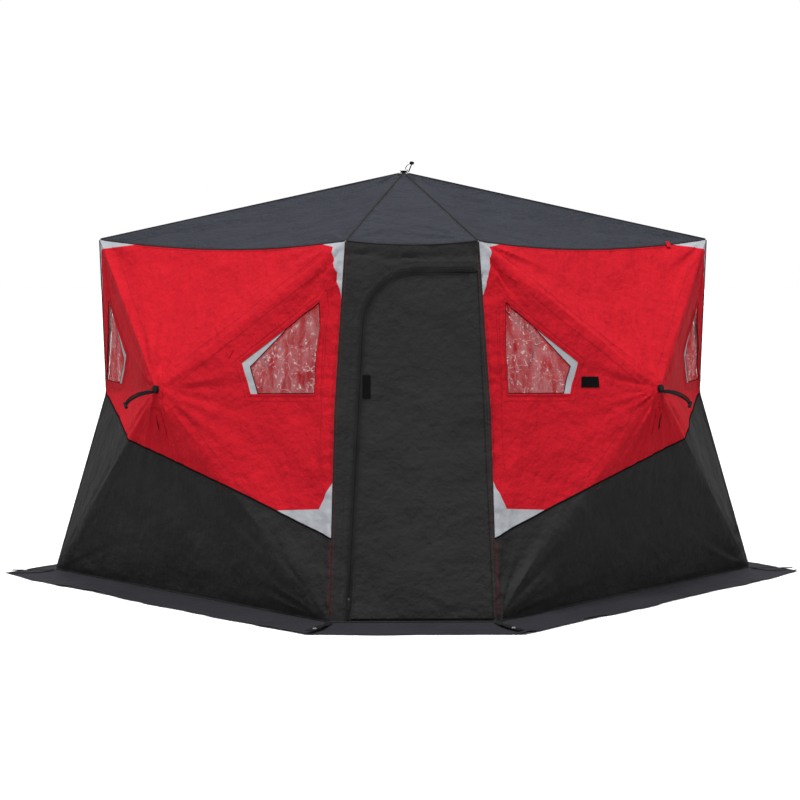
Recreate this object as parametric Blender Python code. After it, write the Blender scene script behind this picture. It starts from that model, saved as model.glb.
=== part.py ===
"""Six-sided hub shelter for ice fishing, in metres, +Z up, its front door facing -Y.

A single skin of fabric stands on five hubs. Each wide wall has a hub in its middle that is pushed
outwards by four poles, the roof has one with six poles, and the two narrow door panels stay flat.
The shelter's axis is +Z and the floor is z = 0.
"""

import math

import bmesh
import bpy
from mathutils import Matrix, Vector

# Driving dimensions of the fabric cabin.
EAVE_HEIGHT = 1.694
APEX_HEIGHT = 2.030
EAVE_CORNER_RADIUS = 1.533
EAVE_DOOR_HALF_WIDTH = 0.293
BASE_CORNER_RADIUS = 1.773
BASE_DOOR_HALF_WIDTH = 0.367
WALL_HUB_X = 1.180
WALL_HUB_Y = 0.964
WALL_HUB_HEIGHT = 0.998

# How far the tension draws each edge in from the straight line between its corners.
WALL_EAVE_SAG = 0.045
DOOR_EAVE_SAG = 0.018
SIDE_SEAM_BOW = 0.138
SIDE_SEAM_BOW_HEIGHT = 0.920
DOOR_SEAM_BOW = 0.016
DOOR_SEAM_BOW_HEIGHT = 0.950

# Sheets.
FABRIC = 0.002
SEAM_SETBACK = 0.003
HUB_HOLE_RADIUS = 0.016
PANE_THICKNESS = 0.001
PANE_GAP = 0.0008
PANE_MARGIN = 0.015
CUTTER_REACH = 0.020
BASE_SEAM_HEIGHT = 0.0215
EAVE_SEGMENTS = 8
DOOR_EAVE_SEGMENTS = 4
SEAM_SEGMENTS = 2
BASE_SEGMENTS = 4

# Window corners as shares of the way from the hub to the seam's top and to its bow.
DOOR_SIDE_WINDOW = ((0.624, 0.256), (0.218, 0.262), (0.036, 0.495), (0.078, 0.811))
CORNER_SIDE_WINDOW = ((0.593, 0.282), (0.229, 0.333), (0.052, 0.645), (0.080, 0.898))

# Door, measured in the plane of the door panel: x across, h up the slope.
DOOR_ARCH_RADIUS = 0.250
DOOR_ARCH_CENTRE = (0.030, 1.320)
DOOR_ARCH_SEGMENTS = 8
ZIP_FOOT = (-0.2885, 0.030)
ZIP_GAP = 0.012
DOOR_HINGE_INSET = 0.012
DOOR_HINGE_GAP = 0.004
DOOR_FOOT = 0.036

# Skirt: distances out from the wall line.
SKIRT_WIDTH = 0.235
SKIRT_FLAT_START = 0.120
SKIRT_RISE = 0.018
SKIRT_TUCK = 0.015
GUSSET_LENGTH = 0.110

# Hubs and poles.
HUB_RADIUS = 0.046
HUB_TOP = -0.028
HUB_BOTTOM = -0.058
STUD_RADIUS = 0.010
FLANGE_RADIUS = 0.020
PIN_RADIUS = 0.003
PIN_CIRCLE = 0.036
PIN_DEPTH = -0.043
SLOT_WIDTH = 0.012
SLOT_INNER = 0.023
SLOT_OVERRUN = 0.010
PIN_SEAT = 0.002
TONGUE_WIDTH = 0.011
TONGUE_HALF_HEIGHT = 0.007
TONGUE_LENGTH = 0.019
TONGUE_BORE = 0.0035
TONGUE_OVERLAP = 0.003
FERRULE_RADIUS = 0.0085
FERRULE_END = 0.062
ROD_RADIUS = 0.0055
TIP_RADIUS = 0.007
TIP_LENGTH = 0.026
TIP_ROUNDING = 0.004
TIP_CLEARANCE = 0.004
EAVE_INSET = 0.030
BASE_INSET = 0.040
BASE_TIP_LIFT = 0.026

# Corner pockets.
POCKET_REACH = 0.075
POCKET_THICKNESS = 0.002
POCKET_DEPTH = 0.013
POCKET_RIM_DEPTH = 0.010

# Pull straps, with a moulded grip at the end.
STRAP_WIDTH = 0.024
STRAP_THICKNESS = 0.003
STRAP_SEAT = 0.003
EYE_BORE = 0.011
EYE_RADIUS = 0.017
GRIP_RADIUS = 0.008
GRIP_LENGTH = 0.032
WALL_STRAP_PATH = ((0.013, 0.0), (0.027, 0.0), (0.050, 0.018), (0.085, 0.028), (0.125, 0.016), (0.150, -0.008))
ROOF_STRAP_PATH = ((0.013, 0.0), (0.027, 0.001), (0.037, 0.022), (0.047, 0.046))
WALL_STRAP_DROOP = math.radians(34)

ROOF_STRAP_HEADING = math.radians(-20)

# Zip slider: where it rests above the zip's foot, and its width in the gap.
SLIDER_REST = 0.085
SLIDER_WIDTH = 0.010

# The slider seen from the side, as heights along the zip and distances out from the fabric.
SLIDER_PROFILE = ((0.012, -0.004), (0.012, 0.003), (0.004, 0.006), (-0.004, 0.006), (-0.040, 0.005),
                  (-0.040, 0.003), (-0.009, 0.003), (-0.012, 0.002), (-0.012, -0.004))

SIDES = 12
HUB_SIDES = 16
ROD_SIDES = 8
PIN_SIDES = 8
SHARP_ANGLE = math.radians(35)
UP = Vector((0, 0, 1))


# Scene, materials and mesh helpers.

def clear_scene():
    for old in list(bpy.data.objects):
        bpy.data.objects.remove(old, do_unlink=True)


def make_material(name, color, roughness, metallic=0.0):
    material = bpy.data.materials.new(name)
    material.use_nodes = True
    shader = material.node_tree.nodes["Principled BSDF"]
    shader.inputs["Base Color"].default_value = (*color, 1.0)
    shader.inputs["Roughness"].default_value = roughness
    shader.inputs["Metallic"].default_value = metallic
    return material


def make_object(name, bm, material, matrix=None, smooth=False):
    """Turn a bmesh into a named object with outward faces."""
    bmesh.ops.recalc_face_normals(bm, faces=bm.faces)
    mesh = bpy.data.meshes.new(name)
    bm.to_mesh(mesh)
    bm.free()
    mesh.materials.append(material)
    if smooth:
        mesh.shade_smooth()
        mesh.set_sharp_from_angle(angle=SHARP_ANGLE)
    item = bpy.data.objects.new(name, mesh)
    if matrix is not None:
        item.matrix_world = matrix
    bpy.context.scene.collection.objects.link(item)
    return item


def combine(target, tool, operation):
    """Apply a Boolean of the tool to the target, and remove the tool."""
    modifier = target.modifiers.new("combine", "BOOLEAN")
    modifier.operation = operation
    modifier.object = tool
    bpy.context.view_layer.update()
    evaluated = target.evaluated_get(bpy.context.evaluated_depsgraph_get())
    result = bpy.data.meshes.new_from_object(evaluated)
    target.modifiers.clear()
    target.data = result
    bpy.data.objects.remove(tool, do_unlink=True)


def bridge_rings(bm, rings):
    """Join closed rings of points in order, and the last to the first."""
    loops = [[bm.verts.new(point) for point in ring] for ring in rings]
    for first, second in zip(loops, loops[1:] + loops[:1]):
        for i in range(len(first)):
            j = (i + 1) % len(first)
            bm.faces.new((first[i], first[j], second[j], second[i]))


def add_prism(bm, outline, depth):
    """A flat outline given one depth vector of thickness."""
    front = [bm.verts.new(point) for point in outline]
    back = [bm.verts.new(point + depth) for point in outline]
    bm.faces.new(front)
    bm.faces.new(list(reversed(back)))
    for i in range(len(front)):
        j = (i + 1) % len(front)
        bm.faces.new((front[i], back[i], back[j], front[j]))


def add_turned(bm, profile, sides, axis="Z"):
    """Turn (along, radius) pairs about an axis; the end caps close on the axis."""
    def place(along, radius, angle):
        across = (radius * math.cos(angle), radius * math.sin(angle))
        if axis == "Z":
            return Vector((across[0], across[1], along))
        if axis == "X":
            return Vector((along, across[0], across[1]))
        return Vector((across[1], along, across[0]))

    angles = [2 * math.pi * (i + 0.5) / sides for i in range(sides)]
    loops = [[bm.verts.new(place(along, radius, angle)) for angle in angles]
             for along, radius in profile]
    for first, second in zip(loops, loops[1:]):
        for i in range(sides):
            j = (i + 1) % sides
            bm.faces.new((first[i], first[j], second[j], second[i]))
    bm.faces.new(loops[0])
    bm.faces.new(list(reversed(loops[-1])))


def grow_outline(points, normal, distance, longest_mitre=math.inf):
    """Move every edge of a flat closed outline outwards by a distance."""
    def outward(a, b):
        return (b - a).cross(normal).normalized()

    count = len(points)
    turn = sum(((points[i] - points[0]).cross(points[(i + 1) % count] - points[0]).dot(normal))
               for i in range(count))
    sign = 1 if turn > 0 else -1
    grown = []
    for i, point in enumerate(points):
        before = outward(points[i - 1], point) * sign
        after = outward(point, points[(i + 1) % count]) * sign
        mitre = (before + after) / (1 + before.dot(after)) * distance
        if mitre.length > longest_mitre:
            mitre = mitre.normalized() * longest_mitre
        grown.append(point + mitre)
    return grown


# The cabin's corners and edges. side and end are -1 or +1: the wall's side in X and in Y.

def corner_depth(radius, half_width):
    return math.sqrt(radius ** 2 - half_width ** 2)


def eave_side_corner(side):
    return Vector((side * EAVE_CORNER_RADIUS, 0, EAVE_HEIGHT))


def eave_door_corner(side, end):
    depth = corner_depth(EAVE_CORNER_RADIUS, EAVE_DOOR_HALF_WIDTH)
    return Vector((side * EAVE_DOOR_HALF_WIDTH, end * depth, EAVE_HEIGHT))


def base_side_corner(side):
    return Vector((side * BASE_CORNER_RADIUS, 0, 0))


def base_door_corner(side, end):
    depth = corner_depth(BASE_CORNER_RADIUS, BASE_DOOR_HALF_WIDTH)
    return Vector((side * BASE_DOOR_HALF_WIDTH, end * depth, 0))


def at_height(top, bottom, height):
    return bottom.lerp(top, height / EAVE_HEIGHT)


def side_seam_bow(side):
    chord = at_height(eave_side_corner(side), base_side_corner(side), SIDE_SEAM_BOW_HEIGHT)
    return chord - Vector((side * SIDE_SEAM_BOW, 0, 0))


def door_seam_bow(side, end):
    chord = at_height(eave_door_corner(side, end), base_door_corner(side, end), DOOR_SEAM_BOW_HEIGHT)
    return chord + Vector((side * DOOR_SEAM_BOW, 0, 0))


def wall_normal(side, end):
    """Outward normal of the plane through a wall's four corners."""
    rising = eave_side_corner(side) - base_door_corner(side, end)
    crossing = eave_door_corner(side, end) - base_side_corner(side)
    normal = rising.cross(crossing).normalized()
    return normal if normal.x * side > 0 else -normal


def wall_hub_point(side, end):
    return Vector((side * WALL_HUB_X, end * WALL_HUB_Y, WALL_HUB_HEIGHT))


def split(start, end, segments):
    """Points from start up to, but not at, end."""
    return [start.lerp(end, i / segments) for i in range(segments)]


def wall_eave(side, end):
    """The sagging eave of a wide wall, from its side corner up to its door corner."""
    inward = -Vector((side * WALL_HUB_X, end * WALL_HUB_Y, 0)).normalized()
    sag = (inward - UP) * WALL_EAVE_SAG
    chord = split(eave_side_corner(side), eave_door_corner(side, end), EAVE_SEGMENTS)
    shares = [i / EAVE_SEGMENTS for i in range(EAVE_SEGMENTS)]
    return [point + sag * 4 * s * (1 - s) for point, s in zip(chord, shares)]


def door_eave(end):
    """The eave over a door, from the left corner up to the right corner."""
    down_slope = door_frame(end).to_3x3() @ Vector((0, -1, 0))
    shares = [i / DOOR_EAVE_SEGMENTS for i in range(DOOR_EAVE_SEGMENTS)]
    chord = split(eave_door_corner(-1, end), eave_door_corner(1, end), DOOR_EAVE_SEGMENTS)
    return [point + down_slope * DOOR_EAVE_SAG * 4 * s * (1 - s) for point, s in zip(chord, shares)]


def wall_boundary(side, end):
    """A wall's edge: along the eave, down the door seam, along the base and up the side seam."""
    door_foot = at_height(eave_door_corner(side, end), base_door_corner(side, end), BASE_SEAM_HEIGHT)
    side_foot = at_height(eave_side_corner(side), base_side_corner(side), BASE_SEAM_HEIGHT)
    points = wall_eave(side, end)
    points += split(eave_door_corner(side, end), door_seam_bow(side, end), SEAM_SEGMENTS)
    points += split(door_seam_bow(side, end), door_foot, SEAM_SEGMENTS)
    points += split(door_foot, side_foot, BASE_SEGMENTS)
    points += split(side_foot, side_seam_bow(side), SEAM_SEGMENTS)
    points += split(side_seam_bow(side), eave_side_corner(side), SEAM_SEGMENTS)
    return points


def reversed_run(points, end):
    """A run of points from its end back to, but not at, its start."""
    return [end] + list(reversed(points[1:]))


def roof_boundary():
    """The roof's edge, once round the six eaves, from the right-hand corner past the front door."""
    points = wall_eave(1, -1)
    points += reversed_run(door_eave(-1), eave_door_corner(1, -1))
    points += reversed_run(wall_eave(-1, -1), eave_door_corner(-1, -1))
    points += wall_eave(-1, 1)
    points += door_eave(1)
    points += reversed_run(wall_eave(1, 1), eave_door_corner(1, 1))
    return points


def end_name(end):
    return "front" if end < 0 else "back"


def wall_name(side, end):
    return end_name(end) + ("_left" if side < 0 else "_right")


# Sheets.

def fan_sheet(name, peak, boundary, depth, material):
    """A sheet stretched in straight lines from a hole at its peak to its boundary."""
    rays = [point - peak for point in boundary]
    hole = [peak + ray.normalized() * HUB_HOLE_RADIUS for ray in rays]
    edge = [point - ray.normalized() * SEAM_SETBACK for point, ray in zip(boundary, rays)]
    bm = bmesh.new()
    inner_edge = [point + depth for point in edge]
    inner_hole = [point + depth for point in hole]
    bridge_rings(bm, [hole, edge, inner_edge, inner_hole])
    return make_object(name, bm, material)


def window_outline(hub, seam_top, seam_bow, shares):
    return [hub + (seam_top - hub) * up + (seam_bow - hub) * across for up, across in shares]


def cut_window(wall, outline, normal):
    """Cut a window's outline through the wall."""
    bm = bmesh.new()
    reach = normal * CUTTER_REACH
    add_prism(bm, [point + reach for point in outline], -2 * reach)
    cutter = make_object("window_cutter", bm, wall.data.materials[0])
    combine(wall, cutter, "DIFFERENCE")


def make_wall(side, end, fabric, film):
    """One wide wall, and the two window panes behind its openings."""
    hub = wall_hub_point(side, end)
    name = wall_name(side, end)
    depth = wall_normal(side, end) * -FABRIC
    wall = fan_sheet(name + "_wall", hub, wall_boundary(side, end), depth, fabric)
    door_side = (eave_door_corner(side, end), door_seam_bow(side, end), DOOR_SIDE_WINDOW)
    corner_side = (eave_side_corner(side), side_seam_bow(side), CORNER_SIDE_WINDOW)
    for place, (top, bow, shares) in (("door", door_side), ("corner", corner_side)):
        outline = window_outline(hub, top, bow, shares)
        normal = (top - hub).cross(bow - hub).normalized()
        if normal.dot(wall_normal(side, end)) < 0:
            normal = -normal
        cut_window(wall, outline, normal)
        behind = normal * -(FABRIC + PANE_GAP)
        pane = [point + behind for point in grow_outline(outline, normal, PANE_MARGIN)]
        bm = bmesh.new()
        add_prism(bm, pane, normal * -PANE_THICKNESS)
        make_object(name + "_window_" + place + "_side", bm, film)


def make_roof(fabric):
    peak = Vector((0, 0, APEX_HEIGHT))
    fan_sheet("roof_canopy", peak, roof_boundary(), -UP * FABRIC, fabric)


def make_skirt(fabric):
    """A ground skirt all round, tucked under the walls, with a gusset inside each corner."""
    corners = [base_side_corner(1), base_door_corner(1, 1), base_door_corner(-1, 1),
               base_side_corner(-1), base_door_corner(-1, -1), base_door_corner(1, -1)]

    def ring(distance, height):
        points = grow_outline(corners, UP, distance, longest_mitre=abs(distance))
        lifted = []
        for i, point in enumerate(points):
            before = points[i - 1] - point
            after = points[(i + 1) % len(points)] - point
            lifted.append(point + before.normalized() * GUSSET_LENGTH)
            lifted.append(point)
            lifted.append(point + after.normalized() * GUSSET_LENGTH)
        return [Vector((point.x, point.y, height)) for point in lifted]

    def gusset_ring(height):
        points = ring(-SKIRT_TUCK, height)
        for i in range(1, len(points), 3):
            points[i] = (points[i - 1] + points[i + 1]) / 2
        return points

    lower = [gusset_ring(SKIRT_RISE), ring(0, SKIRT_RISE), ring(SKIRT_FLAT_START, 0), ring(SKIRT_WIDTH, 0)]
    upper = [[point + UP * FABRIC for point in loop] for loop in reversed(lower)]
    bm = bmesh.new()
    bridge_rings(bm, lower + upper)
    make_object("skirt", bm, fabric)


# Door panels. A panel's own plane has x to the right seen from outside, and h up the slope.

def door_frame(end):
    """The panel's matrix: x across, y up the slope, z outwards, from the middle of its foot."""
    foot = Vector((0, base_door_corner(1, end).y, 0))
    head = Vector((0, eave_door_corner(1, end).y, EAVE_HEIGHT))
    slope = (head - foot).normalized()
    across = Vector((-end, 0, 0))
    outward = across.cross(slope)
    return Matrix.Translation(foot) @ Matrix((across, slope, outward)).transposed().to_4x4()


def door_half_width(height):
    """Half the panel's width at a distance up the slope, out to its bowed seams."""
    frame = door_frame(-1).inverted()
    bow = frame @ door_seam_bow(1, -1)
    head = frame @ eave_door_corner(1, -1)
    if height < bow.y:
        return BASE_DOOR_HALF_WIDTH + (bow.x - BASE_DOOR_HALF_WIDTH) * height / bow.y
    return bow.x + (head.x - bow.x) * (height - bow.y) / (head.y - bow.y)


def door_line():
    """The zip's line as far as the hinge: foot, arch, head and hinge line, in the panel's plane."""
    centre = Vector((*DOOR_ARCH_CENTRE, 0))
    points = [Vector((*ZIP_FOOT, 0))]
    for i in range(DOOR_ARCH_SEGMENTS + 1):
        angle = math.pi - math.pi / 2 * i / DOOR_ARCH_SEGMENTS
        points.append(centre + Vector((math.cos(angle), math.sin(angle), 0)) * DOOR_ARCH_RADIUS)
    head = centre.y + DOOR_ARCH_RADIUS
    points.append(Vector((hinge_x(head), head, 0)))
    points.append(Vector((hinge_x(ZIP_FOOT[1]), ZIP_FOOT[1], 0)))
    return points


def hinge_x(height):
    """The straight hinge line, inside the right-hand seam's two ends."""
    low = door_half_width(0)
    high = door_half_width(DOOR_ARCH_CENTRE[1] + DOOR_ARCH_RADIUS)
    share = height / (DOOR_ARCH_CENTRE[1] + DOOR_ARCH_RADIUS)
    return low + (high - low) * share - DOOR_HINGE_INSET


def hinge_frame(end):
    """The door hinge's matrix: z up its axis, y inwards and x across towards the seam."""
    panel = door_frame(end)
    foot = panel @ Vector((hinge_x(0), 0, 0))
    axis = (panel @ Vector((hinge_x(1), 1, 0)) - foot).normalized()
    inward = panel.to_3x3() @ -UP
    turn = Matrix((inward.cross(axis), inward, axis)).transposed().to_4x4()
    return Matrix.Translation(foot) @ turn


def make_door_surround(end, fabric):
    """The fixed fabric round three sides of the door."""
    panel = door_frame(end)
    inverse = panel.inverted()
    foot = BASE_SEAM_HEIGHT
    inner = grow_outline(door_line(), UP, ZIP_GAP / 2)
    for point in inner[-2:]:
        point.x = hinge_x(point.y) + DOOR_HINGE_GAP / 2
    for point in (inner[0], inner[-1]):
        point.y = foot
    head = [inverse @ point for point in door_eave(end) + [eave_door_corner(1, end)]]
    head.sort(key=lambda point: point.x)
    bow_height = (inverse @ door_seam_bow(1, end)).y
    seams = [(-1, foot), (-1, bow_height), (1, bow_height), (1, foot)]
    seams = [Vector((turn * (door_half_width(height) - SEAM_SETBACK), height, 0)) for turn, height in seams]
    head[0].x += SEAM_SETBACK
    head[-1].x -= SEAM_SETBACK
    head = [Vector((point.x, point.y - SEAM_SETBACK, 0)) for point in head]
    outline = seams[:2] + head + seams[2:] + list(reversed(inner))
    bm = bmesh.new()
    add_prism(bm, outline, UP * -FABRIC)
    bm.transform(panel)
    return make_object(end_name(end) + "_door_surround", bm, fabric)


def make_door_flap(end, fabric):
    """The door leaf, with its origin on the hinge seam."""
    panel = door_frame(end)
    leaf = grow_outline(door_line(), UP, -ZIP_GAP / 2)
    for point in leaf[-2:]:
        point.x = hinge_x(point.y) - DOOR_HINGE_GAP / 2
    for point in (leaf[0], leaf[-1]):
        point.y = DOOR_FOOT
    bm = bmesh.new()
    add_prism(bm, leaf, UP * -FABRIC)
    hinge = hinge_frame(end)
    bm.transform(hinge.inverted() @ panel)
    return make_object(end_name(end) + "_door_flap", bm, fabric, hinge)


def make_zipper_slider(end, metal):
    """The slider block in the zip's gap with a tab hanging in front, its origin on the zip line."""
    foot, head = door_line()[:2]
    along = (head - foot).normalized()
    origin = foot + along * SLIDER_REST
    panel = door_frame(end)
    local = Matrix((along.cross(UP), along, UP)).transposed().to_4x4()
    frame = panel @ Matrix.Translation(origin) @ local
    bm = bmesh.new()
    outline = [Vector((-SLIDER_WIDTH / 2, up, out)) for up, out in SLIDER_PROFILE]
    add_prism(bm, outline, Vector((SLIDER_WIDTH, 0, 0)))
    return make_object(end_name(end) + "_zipper_slider", bm, metal, frame)


# Hubs and poles. A hub's frame has z outwards through the fabric's peak.

def wall_hub_frame(side, end):
    normal = wall_normal(side, end)
    across = UP.cross(normal).normalized()
    rising = normal.cross(across)
    rotation = Matrix((across, rising, normal)).transposed().to_4x4()
    return Matrix.Translation(wall_hub_point(side, end)) @ rotation


def roof_hub_frame():
    return Matrix.Translation((0, 0, APEX_HEIGHT))


def inset_corner(corner):
    """The point inside a corner that a pole's tip is aimed at."""
    towards_axis = -Vector((corner.x, corner.y, 0)).normalized()
    if corner.z > 0:
        return corner + (towards_axis - UP * 0.8).normalized() * EAVE_INSET
    return corner + towards_axis * BASE_INSET + UP * (BASE_SEAM_HEIGHT + BASE_TIP_LIFT)


def spoke(frame, corner):
    """A pole's pin point, its direction away from the hub and its pin's direction."""
    target = inset_corner(corner)
    local = frame.inverted() @ target
    outward = Vector((local.x, local.y, 0)).normalized()
    pin_local = outward * PIN_CIRCLE + UP * PIN_DEPTH
    turn = frame.to_3x3()
    pin = frame @ pin_local
    return pin, (target - pin), turn @ outward.cross(UP), turn @ outward


def spoke_turn(frame, corner):
    """A knuckle's matrix in the hub's own frame: x outwards along the pole, z along the stud."""
    outward = frame.to_3x3().inverted() @ spoke(frame, corner)[3]
    return Matrix((outward, UP.cross(outward), UP)).transposed().to_4x4()


def make_hub(name, frame, corners, plastic):
    """A moulded hub: stud and two flanges outside, and a slot and a pin for each pole."""
    profile = [(0.010, FLANGE_RADIUS), (0.007, FLANGE_RADIUS), (0.007, STUD_RADIUS),
               (0.002, STUD_RADIUS), (0.002, FLANGE_RADIUS), (-0.001, FLANGE_RADIUS),
               (-0.001, STUD_RADIUS), (HUB_TOP, STUD_RADIUS), (HUB_TOP, HUB_RADIUS),
               (HUB_BOTTOM, HUB_RADIUS)]
    bm = bmesh.new()
    add_turned(bm, profile, HUB_SIDES)
    hub = make_object(name, bm, plastic, frame, smooth=True)
    turns = [spoke_turn(frame, corner) for corner in corners]
    slot_length = HUB_RADIUS - SLOT_INNER + SLOT_OVERRUN
    slot_middle = Vector((SLOT_INNER + slot_length / 2, 0, (HUB_TOP + HUB_BOTTOM) / 2))
    slot_size = Matrix.Diagonal((slot_length, SLOT_WIDTH, HUB_TOP - HUB_BOTTOM + 2 * SLOT_OVERRUN, 1))
    for turn in turns:
        bm = bmesh.new()
        bmesh.ops.create_cube(bm, size=1, matrix=turn @ Matrix.Translation(slot_middle) @ slot_size)
        combine(hub, make_object("slot_cutter", bm, plastic, frame), "DIFFERENCE")
    reach = SLOT_WIDTH / 2 + PIN_SEAT
    for turn in turns:
        bm = bmesh.new()
        add_turned(bm, [(-reach, PIN_RADIUS), (reach, PIN_RADIUS)], PIN_SIDES, axis="Y")
        bm.transform(turn @ Matrix.Translation((PIN_CIRCLE, 0, PIN_DEPTH)))
        combine(hub, make_object("pin_tool", bm, plastic, frame), "UNION")
    return hub


def make_tongue(bm):
    """The flat end of a pole, round behind its pin and square in front, with a bore for the pin."""
    half = TONGUE_HALF_HEIGHT
    square = [(TONGUE_LENGTH, half), (TONGUE_LENGTH / 2, half)]
    square += [(TONGUE_LENGTH / 2, -half), (TONGUE_LENGTH, -half)]
    bore = []
    outer = []
    for i in range(PIN_SIDES):
        angle = 2 * math.pi * (i + 0.5) / PIN_SIDES
        across = Vector((math.cos(angle), 0, math.sin(angle)))
        bore.append(across * TONGUE_BORE)
        outer.append(across * half)
    quarter = PIN_SIDES // 4
    for (x, z), i in zip(square, (0, quarter - 1, PIN_SIDES - quarter, PIN_SIDES - 1)):
        outer[i] = Vector((x, 0, z))
    shift = Vector((0, TONGUE_WIDTH / 2, 0))
    bridge_rings(bm, [[point - shift for point in bore], [point - shift for point in outer],
                      [point + shift for point in outer], [point + shift for point in bore]])


def pole_length(reach, outward_normal):
    """Pin to tip: short of the corner by the pole's over-travel and a clearance."""
    swing = math.asin(-reach.dot(outward_normal) / reach.length)
    over_travel = reach.length * (1 - math.cos(swing))
    return reach.length - 2 * over_travel - TIP_CLEARANCE


def make_pole(name, frame, corner, material):
    """A pole with a drilled tongue, a ferrule and a tip; its origin is on its pin, x along it."""
    pin, reach, pin_axis = spoke(frame, corner)[:3]
    length = pole_length(reach, frame.to_3x3() @ UP)
    direction = reach.normalized()
    turn = Matrix((direction, pin_axis, direction.cross(pin_axis))).transposed().to_4x4()
    bm = bmesh.new()
    make_tongue(bm)
    pole = make_object(name, bm, material, Matrix.Translation(pin) @ turn)
    bm = bmesh.new()
    profile = [(TONGUE_LENGTH - TONGUE_OVERLAP, FERRULE_RADIUS), (FERRULE_END, FERRULE_RADIUS),
               (FERRULE_END, ROD_RADIUS), (length - TIP_LENGTH, ROD_RADIUS),
               (length - TIP_LENGTH, TIP_RADIUS), (length - TIP_ROUNDING, TIP_RADIUS),
               (length, TIP_RADIUS - TIP_ROUNDING)]
    add_turned(bm, profile, ROD_SIDES, axis="X")
    rod = make_object(name + "_rod", bm, material, Matrix.Translation(pin) @ turn)
    combine(pole, rod, "UNION")
    pole.data.shade_smooth()
    pole.data.set_sharp_from_angle(angle=SHARP_ANGLE)
    return pole


# Corner pockets inside the eave corners.

def toward(start, end, distance):
    return start + (end - start).normalized() * distance


def make_corner_pocket(name, corner, neighbours, webbing):
    """A shallow sewn cup inside an eave corner, following the edges that meet there."""
    inward = (inset_corner(corner) - corner).normalized()
    rim = [toward(corner, point, POCKET_REACH) + inward * POCKET_RIM_DEPTH for point in neighbours]
    apex = corner + inward * POCKET_DEPTH
    bm = bmesh.new()
    shells = []
    for shift in (Vector(), inward * POCKET_THICKNESS):
        shells.append((bm.verts.new(apex + shift), [bm.verts.new(point + shift) for point in rim]))
    count = len(rim)
    for tip, loop in shells:
        for i in range(count):
            bm.faces.new((tip, loop[i], loop[(i + 1) % count]))
    for i in range(count):
        j = (i + 1) % count
        bm.faces.new((shells[0][1][i], shells[0][1][j], shells[1][1][j], shells[1][1][i]))
    return make_object(name, bm, webbing)


def pocket_neighbours(side, end):
    """The next points along the edges that meet in an eave corner, in order round it."""
    peak = Vector((0, 0, APEX_HEIGHT))
    if end == 0:
        return [peak, wall_eave(side, 1)[1], wall_hub_point(side, 1), side_seam_bow(side),
                wall_hub_point(side, -1), wall_eave(side, -1)[1]]
    door_run = door_eave(end)
    beside = door_run[1] if side < 0 else door_run[-1]
    return [peak, wall_eave(side, end)[-1], wall_hub_point(side, end), door_seam_bow(side, end), beside]


# Pull straps, each on its hub's stud. A strap's frame has x along it and z out along the stud.

def make_pull_strap(name, frame, heading, path, webbing):
    """A webbing strap with an eye for the stud and a moulded grip at its end."""
    turn = Matrix.Rotation(heading, 4, "Z")
    bm = bmesh.new()
    eye = []
    for radius, height in ((EYE_RADIUS, 0), (EYE_RADIUS, STRAP_THICKNESS), (EYE_BORE, STRAP_THICKNESS),
                           (EYE_BORE, 0)):
        angles = [2 * math.pi * i / SIDES for i in range(SIDES)]
        eye.append([Vector((radius * math.cos(a), radius * math.sin(a), STRAP_SEAT + height)) for a in angles])
    bridge_rings(bm, eye)
    strap = make_object(name, bm, webbing, frame @ turn)
    lower = [Vector((x, -STRAP_WIDTH / 2, STRAP_SEAT + z)) for x, z in path]
    upper = []
    for i, point in enumerate(lower):
        ahead = lower[min(i + 1, len(lower) - 1)] - lower[max(i - 1, 0)]
        across = Vector((-ahead.z, 0, ahead.x)).normalized() if i else UP
        upper.append(point + across * STRAP_THICKNESS)
    bm = bmesh.new()
    add_prism(bm, lower + list(reversed(upper)), Vector((0, STRAP_WIDTH, 0)))
    tab = make_object(name + "_tab", bm, webbing, frame @ turn)
    combine(strap, tab, "UNION")
    bm = bmesh.new()
    half = GRIP_LENGTH / 2
    add_turned(bm, [(-half, GRIP_RADIUS), (half, GRIP_RADIUS)], ROD_SIDES, axis="Y")
    end = (lower[-1] + upper[-1]) / 2
    bm.transform(Matrix.Translation((end.x, 0, end.z)))
    grip = make_object(name + "_grip", bm, webbing, frame @ turn)
    combine(strap, grip, "UNION")
    return strap


def make_wall_frame(side, end, plastic, rod, webbing):
    """A wall's hub, its four poles and its pull strap."""
    frame = wall_hub_frame(side, end)
    name = wall_name(side, end)
    corners = {"upper_side": eave_side_corner(side), "upper_door": eave_door_corner(side, end),
               "lower_side": base_side_corner(side), "lower_door": base_door_corner(side, end)}
    make_hub(name + "_hub", frame, corners.values(), plastic)
    for place, corner in corners.items():
        make_pole(name + "_pole_" + place, frame, corner, rod)
    side_corner = frame.inverted() @ eave_side_corner(side)
    heading = -WALL_STRAP_DROOP if side_corner.x > 0 else math.pi + WALL_STRAP_DROOP
    make_pull_strap(name + "_pull_strap", frame, heading, WALL_STRAP_PATH, webbing)


def make_roof_frame(plastic, rod, webbing):
    """The roof's hub, its six poles and its pull strap."""
    frame = roof_hub_frame()
    corners = {"left": eave_side_corner(-1), "right": eave_side_corner(1)}
    for end in (-1, 1):
        for side in (-1, 1):
            corners[wall_name(side, end)] = eave_door_corner(side, end)
    make_hub("roof_hub", frame, corners.values(), plastic)
    for place, corner in corners.items():
        make_pole("roof_pole_" + place, frame, corner, rod)
    make_pull_strap("roof_pull_strap", frame, ROOF_STRAP_HEADING, ROOF_STRAP_PATH, webbing)


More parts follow.
